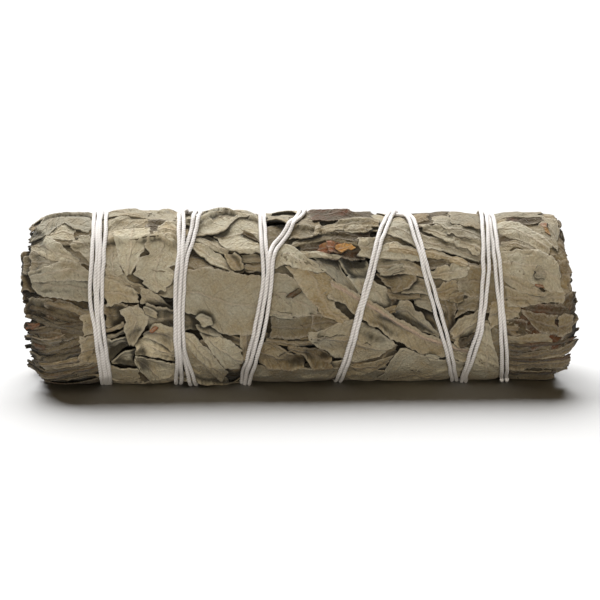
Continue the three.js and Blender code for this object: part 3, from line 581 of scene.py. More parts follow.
FRONT_LEAVES = [
    # left end
    ([(82, 337), (90, 337), (98, 337)], [(82, 315), (90, 313), (98, 312)], PLAIN, 0.54, 0.4),
    ([(82, 365), (92, 366), (104, 365)], [(81, 337), (90, 337), (100, 336)], PLAIN, 0.54, 0.4),
    ([(28, 268), (42, 266), (56, 264)], [(31, 243), (45, 257), (57, 262)], PLAIN, 0.35, 0.34),
    ([(48, 236), (63, 240), (76, 240)], [(48, 232), (64, 221), (76, 228)], PLAIN, 0.2, 0.49),
    ([(91, 264), (78, 252), (69, 246)], [(93, 231), (80, 231), (76, 236)], PLAIN, 0.25, 0.44),
    ([(31, 240), (38, 251), (52, 261), (79, 261)], [(30, 231), (48, 234), (69, 252), (80, 260)],
     SMOOTH, 0.2, 0.44),
    ([(92, 230), (74, 229), (63, 222), (48, 234), (31, 232)],
     [(94, 207), (75, 207), (60, 209), (40, 217), (30, 227)], dict(SMOOTH, edge_lift=0.6), 0.12, 0.34),
    ([(31, 284), (39, 296), (66, 299), (90, 303)], [(30, 272), (45, 272), (68, 273), (92, 275)],
     dict(SMOOTH, torn=0.05, base_jag=0.2), 0.12, 0.38),
    ([(31, 280), (45, 281), (68, 280), (92, 280)], [(28, 268), (39, 266), (72, 259), (92, 270)],
     dict(SMOOTH, torn=0.05, base_jag=0.2, roll=-0.5), 0.15, 0.42),
    # between the first two windings
    ([(104, 330), (118, 332), (130, 330)], [(104, 303), (118, 303), (130, 305)], PLAIN, 0.5, 0.3),
    ([(106, 336), (116, 334), (126, 326)], [(105, 332), (115, 329), (125, 322)], STRIP, 0.55, 0.5),
    ([(104, 342), (116, 342), (128, 337)], [(105, 338), (116, 337), (127, 331)], STRIP, 0.5, 0.45),
    ([(172, 240), (150, 236), (107, 240)], [(178, 212), (150, 210), (106, 210)], CRUMPLED, 0.25, 0.42),
    ([(150, 221), (130, 219), (106, 217)], [(150, 213), (130, 210), (106, 209)], STRIP, 0.3, 0.42),
    ([(148, 232), (160, 232), (166, 229)], [(146, 222), (156, 219), (166, 219)], CRUMPLED, 0.85, 0.02),
    ([(180, 240), (164, 235), (155, 236)], [(180, 222), (168, 220), (158, 226)], CRUMPLED, 0.3, 0.5),
    ([(103, 282), (120, 285), (140, 294)], [(104, 268), (120, 270), (142, 286)], PLAIN, 0.35, 0.4),
    ([(104, 274), (105, 252), (104, 230)], [(123, 275), (118, 252), (114, 228)], SMOOTH, 0.25, 0.58),
    ([(124, 275), (118, 262), (115, 246), (113, 230)], [(131, 274), (138, 262), (147, 243), (152, 227)],
     dict(SMOOTH, roll=-0.45, tip_jag=0.2), 0.22, 0.66),
    ([(158, 296), (168, 298), (178, 298)], [(160, 284), (170, 279), (178, 270)], PLAIN, 0.3, 0.5),
    ([(152, 232), (141, 252), (132, 272), (140, 281), (152, 289)],
     [(179, 233), (179, 250), (177, 268), (172, 283), (163, 292)], dict(CRUMPLED, crumple=0.5), 0.22, 0.62),
    ([(104, 309), (116, 304), (128, 303), (140, 302)], [(103, 275), (118, 281), (131, 288), (140, 293)],
     PEBBLED, 0.35, 0.5),
    ([(140, 303), (150, 304), (160, 306), (171, 310)], [(139, 287), (149, 289), (160, 296), (171, 309)],
     SMOOTH, 0.35, 0.5),
    ([(148, 334), (160, 334), (177, 332)], [(146, 304), (158, 307), (177, 313)], PLAIN, 0.3, 0.48),
    ([(104, 367), (114, 366), (128, 357), (134, 352)], [(103, 341), (112, 343), (127, 340), (134, 348)],
     PLAIN, 0.3, 0.86),
    ([(134, 374), (122, 373), (113, 368)], [(135, 354), (124, 358), (112, 366)], PLAIN, 0.28, 0.84),
    ([(114, 388), (132, 389), (154, 389)], [(108, 368), (121, 374), (136, 372)], SMOOTH, 0.28, 0.84),
    ([(175, 367), (160, 364), (148, 361), (136, 358)], [(175, 357), (160, 347), (144, 343), (133, 348)],
     SMOOTH, 0.25, 0.92),
    ([(138, 370), (148, 381), (160, 388), (178, 389)], [(133, 357), (144, 361), (160, 364), (178, 367)],
     SMOOTH, 0.25, 0.86),
    ([(176, 357), (160, 347), (143, 342)],
     [(177, 330), (164, 325), (155, 324), (148, 333)], PLAIN, 0.28, 0.62),
    ([(151, 335), (154, 333), (158, 329)], [(150, 331), (153, 329), (157, 327)], STRIP, 1.35, 0.6),
    ([(118, 311), (122, 325), (126, 340), (130, 349)], [(143, 305), (150, 318), (145, 332), (133, 349)],
     dict(PEBBLED, tip_jag=0.2, edge_lift=0.4), 0.22, 0.56),
    ([(143, 312), (149, 315), (155, 318)], [(141, 306), (148, 308), (156, 312)], CURLED, 0.15, 0.65),
    # between the second and the third winding
    ([(184, 268), (197, 268), (214, 268)], [(184, 240), (196, 242), (210, 250)], PLAIN, 0.55, 0.2),
    ([(262, 270), (240, 271), (224, 268)], [(262, 240), (240, 242), (224, 250)], CRUMPLED, 0.75, 0.05),
    ([(241, 260), (250, 261), (264, 259)], [(238, 254), (250, 254), (264, 252)], STRIP, 0.45, 0.35),
    ([(244, 268), (254, 270), (264, 268)], [(242, 261), (254, 262), (264, 261)], CRUMPLED, 0.5, 0.3),
    ([(192, 242), (200, 253), (210, 262), (233, 271)], [(193, 237), (205, 242), (218, 251), (235, 268)],
     PEBBLED, 0.18, 0.56),
    ([(194, 236), (203, 241), (213, 248), (226, 254)], [(196, 229), (209, 230), (221, 240), (231, 252)],
     dict(ROLLED, roll=-0.6), 0.3, 0.5),
    ([(264, 252), (245, 254), (230, 253), (222, 244), (215, 233)],
     [(266, 218), (250, 214), (236, 216), (228, 222), (217, 231)], SMOOTH, 0.25, 0.54),
    ([(262, 242), (253, 236), (244, 232)], [(263, 238), (254, 233), (244, 229)], CURLED, 0.8, 0.15),
    ([(196, 230), (214, 233), (226, 228), (238, 217), (262, 217)],
     [(196, 210), (210, 207), (226, 207), (240, 208), (262, 212)], LIFTED, 0.2, 0.42),
    ([(234, 270), (228, 263), (224, 253)], [(243, 268), (243, 259), (234, 253)], CURLED, 0.5, 0.45),
    ([(183, 337), (192, 336), (203, 331)], [(183, 314), (195, 317), (204, 328)], PLAIN, 0.35, 0.35),
    ([(183, 388), (200, 388), (228, 388)], [(184, 343), (196, 354), (227, 382)], SMOOTH, 0.25, 0.54),
    ([(226, 343), (234, 346), (243, 350)], [(222, 336), (233, 338), (242, 342)], STRIP, 0.55, 0.35),
    ([(240, 338), (241, 352), (243, 368)], [(254, 336), (252, 352), (248, 369)], PLAIN, 0.6, 0.46),
    ([(183, 340), (190, 352), (206, 368), (223, 383)], [(184, 335), (194, 337), (210, 353), (229, 375)],
     SMOOTH, 0.3, 0.58),
    ([(200, 335), (211, 354), (226, 370), (242, 375)], [(200, 331), (217, 338), (233, 344), (243, 354)],
     SMOOTH, 0.12, 0.62),
    ([(201, 333), (212, 337), (225, 340)], [(199, 328), (211, 326), (223, 336)], PEBBLED, 0.2, 0.45),
    ([(182, 312), (200, 319), (215, 330), (224, 337), (258, 338)],
     [(181, 269), (206, 267), (230, 270), (248, 273), (266, 275)],
     dict(SMOOTH, crumple=0.12, stiff=40, edge_lift=0.3, grooves=0.12), 0.26, 0.4),
    ([(199, 327), (205, 328), (210, 324)], [(194, 320), (202, 314), (209, 319)], CURLED, 0.15, 0.5),
    # middle
    ([(252, 388), (280, 388), (312, 386), (338, 384)], [(252, 372), (280, 371), (305, 370), (335, 368)],
     SMOOTH, 0.35, 0.3),
    ([(342, 384), (360, 385), (386, 385)], [(343, 366), (360, 370), (386, 372)], PLAIN, 0.3, 0.4),
    ([(258, 368), (272, 372), (290, 372), (304, 369)], [(258, 341), (275, 347), (292, 357), (305, 366)],
     PLAIN, 0.65, 0.3),
    ([(262, 342), (290, 342), (316, 338)], [(264, 336), (290, 336), (316, 332)], STRIP, 0.63, 0.2),
    ([(266, 346), (290, 348), (312, 345)], [(264, 341), (290, 342), (313, 339)], STRIP, 0.58, 0.25),
    ([(270, 340), (292, 340), (316, 336)], [(270, 316), (290, 318), (320, 313)], PLAIN, 0.53, 0.05),
    ([(290, 351), (304, 362), (316, 373), (331, 369)], [(288, 347), (304, 349), (320, 355), (335, 361)],
     PLAIN, 0.7, 0.3),
    ([(268, 314), (285, 315), (298, 318), (319, 315)], [(270, 271), (288, 273), (302, 286), (319, 310)],
     SMOOTH, 0.25, 0.3),
    ([(271, 316), (283, 319), (294, 319)], [(270, 311), (283, 312), (294, 314)], CURLED, 0.18, 0.5),
    ([(287, 298), (292, 292), (299, 288)], [(291, 299), (296, 295), (300, 291)], CURLED, 0.88, 0.05),
    ([(311, 333), (322, 331), (342, 326)], [(313, 315), (324, 314), (343, 320)], PLAIN, 0.78, 0.18),
    ([(353, 368), (374, 368), (394, 358)], [(350, 363), (372, 358), (400, 346)], STRIP, 0.75, 0.25),
    ([(354, 372), (374, 373), (386, 366)], [(352, 367), (372, 364), (394, 356)], STRIP, 0.6, 0.3),
    ([(311, 342), (321, 352), (335, 362), (357, 365), (380, 357)],
     [(309, 333), (330, 326), (352, 319), (374, 331), (399, 347)], dict(SMOOTH, fold=0.12), 0.35, 0.4),
    ([(286, 266), (297, 281), (310, 301), (325, 318), (344, 325)],
     [(326, 267), (333, 278), (335, 292), (337, 308), (350, 321)], dict(SMOOTH, stiff=14), 0.58, 0.48),
    ([(323, 268), (336, 281), (348, 290), (357, 294)],
     [(310, 255), (325, 252), (338, 252), (341, 268), (357, 290)],
     PEBBLED, 0.18, 0.4),
    ([(338, 254), (343, 269), (352, 281), (358, 293)], [(367, 256), (374, 270), (371, 284), (365, 297)],
     PEBBLED, 0.21, 0.38),
    ([(366, 284), (366, 297), (376, 309), (384, 313)], [(378, 279), (390, 290), (395, 301), (390, 311)],
     PEBBLED, 0.25, 0.4),
    # a leaf darkened to shade 0 as painted shade in the hollow behind the rust and gold pieces
    ([(302, 254), (320, 257), (340, 259), (366, 257)], [(296, 242), (318, 238), (340, 238), (366, 241)],
     CRUMPLED, 0.95, 0.0),
    ([(317, 252), (324, 253), (332, 252)], [(320, 245), (328, 240), (334, 242)],
     dict(CRUMPLED, crumple=1.4), 1.45, 0.3),
    ([(328, 252), (333, 253), (341, 252)], [(326, 241), (334, 240), (342, 243)],
     dict(CRUMPLED, crumple=1.6), 1.4, 0.2),
    ([(338, 252), (344, 252), (353, 247)], [(337, 246), (345, 242), (354, 241)],
     dict(CRUMPLED, crumple=1.0), 1.8, 0.45),
    ([(299, 255), (318, 257), (341, 258)], [(299, 250), (318, 251), (341, 255)], ROLLED, 0.2, 0.6),
    ([(293, 245), (311, 241), (325, 239), (358, 244)], [(292, 239), (310, 234), (326, 232), (358, 239)],
     dict(ROLLED, edge_lift=0.4), 0.39, 0.35),
    ([(290, 236), (304, 238), (318, 236)], [(290, 214), (304, 211), (320, 214)],
     dict(CRUMPLED, crumple=0.9), 0.44, 0.22),
    # two dark leaves as painted shade in gaps near the top
    ([(312, 222), (345, 221), (372, 219)], [(306, 211), (345, 209), (372, 210)], STRIP, 0.99, -0.1),
    ([(330, 240), (345, 241), (368, 241)], [(330, 228), (345, 227), (368, 226)], CRUMPLED, 0.99, -0.1),
    ([(314, 236), (332, 233), (347, 228), (380, 223)], [(318, 226), (332, 222), (350, 219), (382, 216)],
     dict(SMOOTH, roll=-0.5), 0.46, 0.26),
    ([(346, 232), (360, 232), (373, 229)], [(346, 226), (360, 225), (374, 223)], CURLED, 0.39, 0.32),
    ([(412, 222), (420, 222), (427, 220)], [(412, 213), (420, 213), (427, 213)], ROLLED, 0.64, 0.3),
    ([(358, 254), (368, 256), (376, 254)], [(360, 236), (370, 236), (380, 232)], CRUMPLED, 0.3, 0.5),
    ([(273, 268), (285, 264), (298, 267), (318, 272)],
     [(271, 246), (282, 240), (295, 245), (305, 256), (327, 270)],
     dict(PEBBLED, torn=0.35, edge_lift=0.5), 0.15, 0.48),
    # right of the middle
    ([(436, 300), (448, 332), (452, 345)], [(454, 296), (458, 325), (458, 348)], PLAIN, 0.78, 0.1),
    ([(415, 318), (428, 326), (440, 335)], [(420, 304), (432, 310), (444, 320)], CRUMPLED, 0.78, 0.15),
    ([(392, 312), (398, 314), (404, 312)], [(390, 298), (398, 297), (404, 298)], CRUMPLED, 0.98, -0.05),
    ([(413, 303), (422, 309), (433, 313)], [(409, 297), (420, 293), (432, 293)], PLAIN, 0.43, 0.32),
    ([(390, 298), (402, 300), (422, 298)], [(386, 287), (400, 291), (420, 294)], STRIP, 0.63, 0.25),
    ([(401, 293), (415, 294), (432, 294)], [(401, 285), (414, 274), (430, 279)], PLAIN, 0.38, 0.36),
    ([(378, 272), (385, 282), (392, 289)],
     [(406, 264), (418, 272), (417, 284), (402, 293)], PLAIN, 0.58, 0.32),
    ([(378, 271), (392, 274), (412, 273), (432, 277)], [(377, 256), (390, 254), (410, 258), (430, 267)],
     dict(PLAIN, roll=-0.5), 0.28, 0.42),
    ([(380, 274), (392, 275), (404, 270)], [(379, 266), (392, 266), (404, 263)], CRUMPLED, 0.23, 0.45),
    ([(426, 268), (438, 268), (446, 264)], [(424, 252), (436, 252), (446, 254)], CRUMPLED, 0.83, 0.02),
    ([(394, 318), (402, 322), (416, 331), (440, 340)],
     [(395, 310), (399, 300), (411, 300), (423, 315), (441, 338)],
     dict(PEBBLED, tip_jag=0.2), 0.25, 0.42),
    ([(385, 317), (390, 315), (396, 313)], [(383, 311), (389, 308), (396, 306)], CRUMPLED, 0.63, 0.3),
    ([(380, 385), (400, 387), (425, 387), (455, 386)],
     [(380, 378), (391, 361), (402, 348), (424, 358), (452, 364)],
     SMOOTH, 0.25, 0.6),
    ([(452, 386), (475, 387), (500, 386)], [(450, 363), (475, 363), (500, 374)], SMOOTH, 0.25, 0.58),
    ([(331, 299), (346, 307), (362, 321), (400, 346), (425, 357), (445, 361), (468, 365)],
     [(333, 279), (358, 293), (383, 307), (400, 321), (440, 342), (474, 352)], RIBBED, 0.45, 0.4),
    ([(428, 361), (434, 364), (440, 363)], [(426, 356), (433, 356), (440, 359)], CURLED, 0.12, 0.76),
    ([(436, 300), (446, 303), (463, 294)],
     [(437, 285), (445, 280), (454, 278), (461, 284)], CRUMPLED, 0.68, 0.3),
    ([(456, 318), (470, 311), (488, 314)], [(459, 299), (472, 296), (488, 300)], PLAIN, 0.63, 0.25),
    ([(461, 294), (472, 298), (488, 301)], [(457, 270), (470, 264), (488, 262)], PLAIN, 0.53, 0.32),
    ([(449, 302), (456, 304), (463, 300)], [(448, 295), (456, 292), (463, 292)], CURLED, 0.63, 0.4),
    ([(430, 279), (442, 281), (456, 278), (468, 277)], [(428, 268), (444, 266), (458, 261), (471, 268)],
     dict(CRUMPLED, crumple=0.6), 0.18, 0.48),
    ([(381, 256), (395, 257), (412, 259), (426, 258)], [(380, 241), (395, 239), (412, 242), (426, 246)],
     dict(PLAIN, roll=-0.5), 0.35, 0.5),
    ([(390, 250), (420, 253), (446, 260), (466, 268)], [(391, 241), (420, 243), (448, 250), (472, 262)],
     dict(STRIP, roll=-0.7), 0.55, 0.45),
    ([(408, 224), (428, 226), (448, 224)], [(406, 209), (428, 208), (448, 209)], CRUMPLED, 0.94, -0.05),
    ([(388, 232), (403, 238), (425, 245), (458, 255), (480, 262)],
     [(386, 217), (408, 220), (425, 232), (456, 241), (482, 254)], LIFTED, 0.16, 0.44),
    ([(411, 220), (420, 221), (428, 220)], [(411, 213), (420, 212), (428, 213)], ROLLED, 0.79, 0.35),
    ([(423, 228), (436, 236), (453, 243), (478, 256)], [(419, 222), (436, 224), (456, 229), (484, 240)],
     LIFTED, 0.16, 0.44),
    ([(434, 226), (448, 229), (462, 232)], [(432, 217), (447, 215), (462, 218)], CRUMPLED, 0.29, 0.28),
    ([(448, 233), (460, 237), (484, 240)], [(450, 225), (464, 222), (484, 226)], CRUMPLED, 0.24, 0.32),
    ([(450, 222), (466, 226), (484, 228)], [(448, 210), (466, 207), (484, 208)], CRUMPLED, 0.34, 0.28),
    ([(456, 345), (462, 350), (470, 343), (484, 330)], [(452, 332), (458, 320), (468, 313), (484, 309)],
     dict(CURLED, roll=0.7), 0.38, 0.38),
    ([(461, 348), (468, 347), (478, 338)], [(462, 339), (470, 336), (478, 333)], CURLED, 0.93, 0.02),
    ([(484, 327), (480, 342), (474, 358), (469, 371)], [(489, 327), (494, 345), (499, 362), (502, 378)],
     dict(SMOOTH, edge_lift=0.45), 0.15, 0.7),
    # right end
    ([(572, 296), (560, 296), (545, 296)], [(559, 222), (553, 214), (540, 214)], CRUMPLED, 0.79, 0.24),
    ([(572, 292), (564, 292), (556, 288)], [(568, 258), (562, 257), (555, 262)], CRUMPLED, 0.89, 0.34),
    ([(562, 350), (545, 352), (520, 352)], [(570, 300), (545, 298), (520, 300)], CRUMPLED, 1.09, -0.07),
    ([(504, 350), (512, 352), (528, 350)], [(504, 318), (512, 318), (528, 320)], PLAIN, 0.94, -0.02),
    ([(490, 330), (504, 322), (520, 318)], [(490, 302), (504, 300), (522, 304)], PLAIN, 0.6, 0.32),
    ([(565, 352), (575, 350), (582, 340)], [(560, 322), (572, 318), (580, 316)], CRUMPLED, 0.99, 0.18),
    ([(560, 330), (570, 334), (579, 330)], [(560, 300), (570, 292), (577, 292)], CRUMPLED, 0.94, 0.2),
    ([(507, 364), (530, 362), (560, 358), (579, 353)], [(507, 357), (530, 353), (560, 348), (578, 343)],
     STRIP, 0.74, 0.18),
    ([(508, 382), (530, 382), (552, 379)], [(508, 371), (530, 370), (552, 371)], STRIP, 0.69, 0.18),
    ([(508, 371), (530, 370), (556, 370), (570, 367)], [(507, 363), (530, 361), (555, 357), (571, 355)],
     dict(STRIP, roll=-0.6), 0.69, 0.26),
    ([(508, 357), (520, 356), (530, 350)], [(508, 346), (520, 344), (530, 342)], PLAIN, 0.84, 0.13),
    ([(508, 347), (528, 347), (553, 344)],
     [(506, 337), (526, 335), (553, 333)], dict(ROLLED, roll=-0.8), 0.54, 0.28),
    # three dark strips as painted shade in the gaps between the lengthwise leaves
    ([(508, 347), (540, 346), (576, 343)], [(508, 344), (540, 342), (577, 340)], STRIP, 1.02, -0.1),
    ([(508, 364), (540, 363), (572, 360)], [(508, 361), (540, 360), (572, 357)], STRIP, 1.02, -0.1),
    ([(508, 377), (535, 376), (556, 373)], [(508, 374), (535, 373), (556, 370)], STRIP, 1.02, -0.1),
    ([(530, 314), (545, 320), (560, 320), (572, 318)], [(528, 305), (545, 303), (562, 304), (572, 310)],
     PLAIN, 1.04, -0.02),
    ([(531, 325), (542, 334), (558, 336)],
     [(523, 310), (538, 313), (558, 316)], dict(ROLLED, roll=-0.6), 0.84, 0.2),
    ([(557, 338), (566, 336), (572, 332)], [(556, 316), (566, 314), (571, 314)], CRUMPLED, 0.74, 0.28),
    ([(510, 335), (516, 338), (521, 336)], [(507, 326), (514, 324), (521, 326)], PLAIN, 0.94, 0.28),
    ([(508, 307), (520, 308), (535, 304), (562, 304)], [(502, 284), (515, 289), (535, 292), (562, 290)],
     SMOOTH, 0.49, 0.36),
    ([(557, 252), (548, 241), (535, 233), (519, 228)], [(560, 230), (556, 219), (541, 215), (518, 219)],
     dict(CRUMPLED, crumple=0.5), 0.34, 0.26),
    ([(544, 230), (547, 232), (550, 234)], [(543, 223), (545, 222), (548, 224)], STRIP, 1.6, 0.17),
    ([(500, 256), (520, 256), (545, 256)], [(498, 232), (515, 231), (545, 246)], CRUMPLED, 0.74, -0.01),
    ([(500, 250), (508, 250), (516, 246)], [(498, 240), (508, 239), (516, 240)], CRUMPLED, 0.44, 0.44),
    ([(502, 244), (516, 247), (536, 252)], [(501, 238), (516, 239), (537, 246)], STRIP, 0.34, 0.29),
    ([(504, 223), (520, 223), (540, 223)], [(504, 213), (520, 213), (540, 214)], PLAIN, 0.94, -0.1),
    ([(493, 218), (510, 217), (526, 216), (540, 217)], [(492, 207), (506, 206), (522, 207), (541, 210)],
     PLAIN, 0.24, 0.3),
    ([(499, 233), (518, 238), (533, 247), (545, 256)], [(494, 221), (515, 220), (535, 230), (555, 246)],
     dict(SMOOTH, roll=-0.6, edge_lift=0.5), 0.2, 0.36),
    ([(502, 273), (514, 277), (530, 282), (546, 291), (563, 292)],
     [(497, 250), (518, 249), (542, 251), (556, 260), (562, 275)],
     dict(LIFTED, stiff=24), 0.24, 0.52),
    ([(533, 276), (537, 279), (542, 279)], [(530, 268), (537, 265), (543, 268)], CURLED, 0.44, 0.29),
    ([(536, 287), (541, 289), (544, 289)], [(535, 284), (539, 284), (543, 285)], STRIP, 1.4, 0.39),
    ([(503, 280), (514, 288), (526, 294), (543, 296)], [(501, 270), (518, 276), (534, 284), (545, 294)],
     dict(SMOOTH, fold=0.12), 0.46, 0.44),
]


# The least and the most length and width of the leaves strewn over the bunch, and how many there are.
BROAD = ((18, 30), (7, 13))
SMALL = ((5, 13), (2.5, 7))
END_LEAVES = 110
UNDER_LEAVES = 80
BROAD_LEAVES = 120
SMALL_LEAVES = 90
CORNER_FOLDS = 50
NARROW_FOLDS = 26


def scattered(number, length_range, width_range):
    """A leaf in a random lie, its place spread evenly over the surface, and how it lies."""
    half = HALF_LENGTH - 12
    x = -half + 2 * half * ((number * 0.7549) % 1) + rng.uniform(-2, 2)
    angle = 360 * ((number * 0.5698) % 1) + rng.uniform(-6, 6)
    length = rng.uniform(*length_range)
    turn = math.radians(rng.uniform(-40, 40) + (180 if rng.rand() < 0.5 else 0))
    dx = math.cos(turn) * length / 2
    da = math.sin(turn) * length / 2 / MM_PER_DEGREE
    ends = [POINTED, ROUND, TORN, TORN]
    start, end = np.clip((x - dx, x + dx), -48.4, 48.4)
    leaf = dict(start=(start, angle - da), end=(end, angle + da), width=rng.uniform(*width_range),
                base=ends[rng.randint(4)], tip=ends[rng.randint(3)], bow=rng.uniform(-1.5, 1.5))
    kinds = [SMOOTH, SMOOTH, PLAIN, PLAIN, CRUMPLED, CURLED]
    look = dict(kinds[rng.randint(len(kinds))])
    look["tone"] = rng.uniform(0.1, 0.4) + 0.35 * (rng.rand() < 0.2)
    look["shade"] = rng.uniform(0.38, 0.6)
    look["edge_lift"] = rng.uniform(0.15, 0.5)
    return leaf, look


def end_leaf(number):
    """A crumpled leaf that stands out of one end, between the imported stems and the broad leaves."""
    side = 1 if number % 2 else -1
    angle = 360 * ((number * 0.3819) % 1)
    leaf = dict(start=(side * rng.uniform(26, 34), angle),
                end=(side * rng.uniform(45.5, 49), angle + rng.uniform(-9, 9)),
                width=rng.uniform(6, 11), base=TORN, tip=TORN, bow=rng.uniform(-1, 1))
    look = dict(CRUMPLED, crumple=0.4, tone=rng.uniform(0.3, 0.85), shade=rng.uniform(0.25, 0.5), tip_jag=1.0)
    return leaf, look


def corner_fold():
    """A folded edge that shows where the broad leaves stop short of the left end, and how it lies."""
    angle = rng.uniform(-58, 12)
    length = rng.uniform(4, 12)
    end = rng.uniform(-49.6, -44)
    rise = (0.25 if angle < -8 else -0.3) * length / MM_PER_DEGREE
    leaf = dict(start=(end + length, angle + rise), end=(end, angle), width=rng.uniform(0.8, 2),
                base=ROUND, tip=TORN, bow=rng.uniform(-0.4, 0.4))
    # shade down to -0.6: the darkest folds are painted shade for the gaps between folds
    look = dict(STRIP, tone=rng.uniform(0.45, 0.9), shade=rng.uniform(-0.6, 0.42), crumple=0.35)
    return leaf, look


def off_front(leaf):
    """How many degrees a leaf's middle lies from the middle of the front."""
    middle = (leaf["start"][1] + leaf["end"][1]) / 2
    return abs((middle - SEEN_FROM_ABOVE + 180) % 360 - 180)


def over_bare(leaf):
    """Whether either end of a leaf would cover the bare corner."""
    return any(x < BARE[0] and BARE[1] < (angle + 180) % 360 - 180 < BARE[2]
               for x, angle in (leaf["start"], leaf["end"]))


def lay_seen_leaves(piece, leaves):
    """Lays leaves whose edges are given in the front view."""
    for first, second, kind, tone, shade in leaves:
        edges = (seen_edge(first), seen_edge(second))
        lay_leaf(piece, edges, dict(kind, tone=tone, shade=shade), detail=0.3)


def lay_under_leaves(under):
    """Crumpled leaves at both ends, and browner ones darkened as painted shade that show through gaps."""
    for number in range(END_LEAVES):
        leaf, look = end_leaf(number)
        if not over_bare(leaf):
            lay_leaf(under, edges_of(leaf), look, detail=0.6)
    for number in range(UNDER_LEAVES):
        leaf, look = scattered(number, *BROAD)
        if not over_bare(leaf):
            # browner by tone, and darkened to shade 0.15 as painted shade where they show through gaps
            darkened_under = dict(look, tone=min(look["tone"] + 0.35, 0.75), shade=0.15)
            lay_leaf(under, edges_of(leaf), darkened_under, detail=0.8)


def lay_leaves_off_front(outer):
    """Broad leaves over the top, back and underside, and then small ones among them."""
    first_small = UNDER_LEAVES + BROAD_LEAVES
    for number in range(UNDER_LEAVES, first_small + SMALL_LEAVES):
        leaf, look = scattered(number, *(BROAD if number < first_small else SMALL))
        nearest = FRONT_HALF + (5 if number > first_small else 0)
        if off_front(leaf) > nearest and not over_bare(leaf):
            lay_leaf(outer, edges_of(leaf), look, detail=0.45)


def lay_corner_folds(outer, count, narrowed=1):
    """Strews folded edges over the bare corner; the darkest stand in as painted shade in the gaps between
    folds.
    """
    for _ in range(count):
        leaf, look = corner_fold()
        leaf["width"] *= narrowed
        lay_leaf(outer, edges_of(leaf), look, detail=0.3)


def wrapped_leaves():
    """The broad leaves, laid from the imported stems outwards, in an under and an outer layer."""
    under, outer = Piece(), Piece()
    lay_under_leaves(under)
    lay_leaves_off_front(outer)
    lay_corner_folds(outer, CORNER_FOLDS)
    lay_seen_leaves(outer, CORNER_LEAVES)
    lay_corner_folds(outer, NARROW_FOLDS, narrowed=0.55)
    lay_seen_leaves(outer, FRONT_LEAVES)
    press_and_add(under)
    press_and_add(outer)
    return under, outer


def pulled_tight(lying_on):
    """A line of heights pulled straight where it isn't held up, sinking a little into what it lies on."""
    height = lying_on.copy()
    for _ in range(60):
        mean = (np.roll(height, 1) + np.roll(height, -1)) / 2
        mean[0], mean[-1] = height[0], height[-1]
        height = np.maximum(mean, lying_on - 0.12)
    return height


def string_strands():
    """Two twisted strands side by side along the route, the way back over the way out."""
    piece = Piece()
    turn = int(len(route) * 0.57)
    wanted = cover - drawn_in
    for part in (route[:turn + 8], route[turn:]):
        x, angle = part[:, 0], part[:, 1]
        heading = np.stack([np.gradient(x), np.gradient(angle) * MM_PER_DEGREE], 1)
        heading /= np.linalg.norm(heading, axis=1, keepdims=True)
        height = pulled_tight(sample(spread(wanted, 2), x, angle))
        run = np.arange(len(x)) * STRING_STEP
        for side in (-1, 1):
            offset = side * (STRAND_RADIUS * 1.12 + 0.1 * ripple(run / 7, 3.0, 0))
            offset += 0.1 * ripple(run / 2.4, 5.0, side)
            centre = on_bunch(x - offset * heading[:, 1], angle + offset * heading[:, 0] / MM_PER_DEGREE,
                              height + STRAND_RADIUS * 0.8 + 0.05 * ripple(run / 4, 7.0, side))
            centre[:, 2] = np.maximum(centre[:, 2], STRAND_RADIUS * 1.12)
            add_strand(piece, centre, side)
        row, column = cells_at(x, angle)
        for beside in range(-4, 5):
            np.maximum.at(wanted, (np.clip(row + beside, 0, ROWS - 1), column), height + STRAND_RADIUS * 1.6)
    knot_and_tails(piece, wanted)
    return piece


def knot_and_tails(piece, wanted):
    """An overhand knot in the doubled string on the back, and its two short tails."""
    x, angle = KNOT[0] + 0.7, KNOT[1]
    under = float(sample(spread(wanted, 2), np.array([x]), np.array([angle]))[0])
    t = np.linspace(0, 2 * np.pi, 90)
    for size in (0.85, 1.25):
        loop_x = size * (np.sin(t) + 2 * np.sin(2 * t)) / 2.4
        loop_round = size * (np.cos(t) - 2 * np.cos(2 * t)) / 2.4
        loop_out = under + 0.75 - 0.5 * size * np.sin(3 * t)
        add_strand(piece, on_bunch(x + loop_x, angle + loop_round / MM_PER_DEGREE, loop_out), size)
    for side in (-1, 1):
        u = np.linspace(0, 1, 45)
        tail_angle = angle + side * 26 * u
        tail_x = x + side * 4 * u ** 1.5
        lying = sample(spread(wanted, 2), tail_x, tail_angle) + STRAND_RADIUS
        add_strand(piece, on_bunch(tail_x, tail_angle, np.maximum(lying, under + 0.7 - 2 * u)), side)


def add_strand(piece, centre, side, sides=16, pitch=1.8):
    """A round strand whose three plies show as a twist."""
    ahead = np.gradient(centre, axis=0)
    ahead /= np.linalg.norm(ahead, axis=1, keepdims=True)
    outward = centre * [0, 1, 1] - [0, 0, AXIS_HEIGHT]
    outward -= (outward * ahead).sum(1, keepdims=True) * ahead
    outward /= np.linalg.norm(outward, axis=1, keepdims=True)
    sideways = np.cross(ahead, outward)
    run = np.concatenate([[0], np.cumsum(np.linalg.norm(np.diff(centre, axis=0), axis=1))])
    around = np.linspace(0, 2 * np.pi, sides, endpoint=False)[None, :]
    twist = (run / pitch * 2 * np.pi)[:, None]
    ply = np.abs(np.cos(1.5 * (around - twist)))
    fluff = 0.06 * ripple(run[:, None] / 0.7, around * 2, side) + 0.07 * ripple(run[:, None] / 3, 2.0, side)
    radius = STRAND_RADIUS * (0.74 + 0.3 * ply + fluff)
    points = centre[:, None] + (np.cos(around) * radius)[..., None] * outward[:, None] + (
        np.sin(around) * radius)[..., None] * sideways[:, None]
    flat = np.stack(np.broadcast_arrays(run[:, None], around * STRAND_RADIUS), -1)
    piece.add_tube(points, flat, (0.5, 0.5, 0.5), ply)


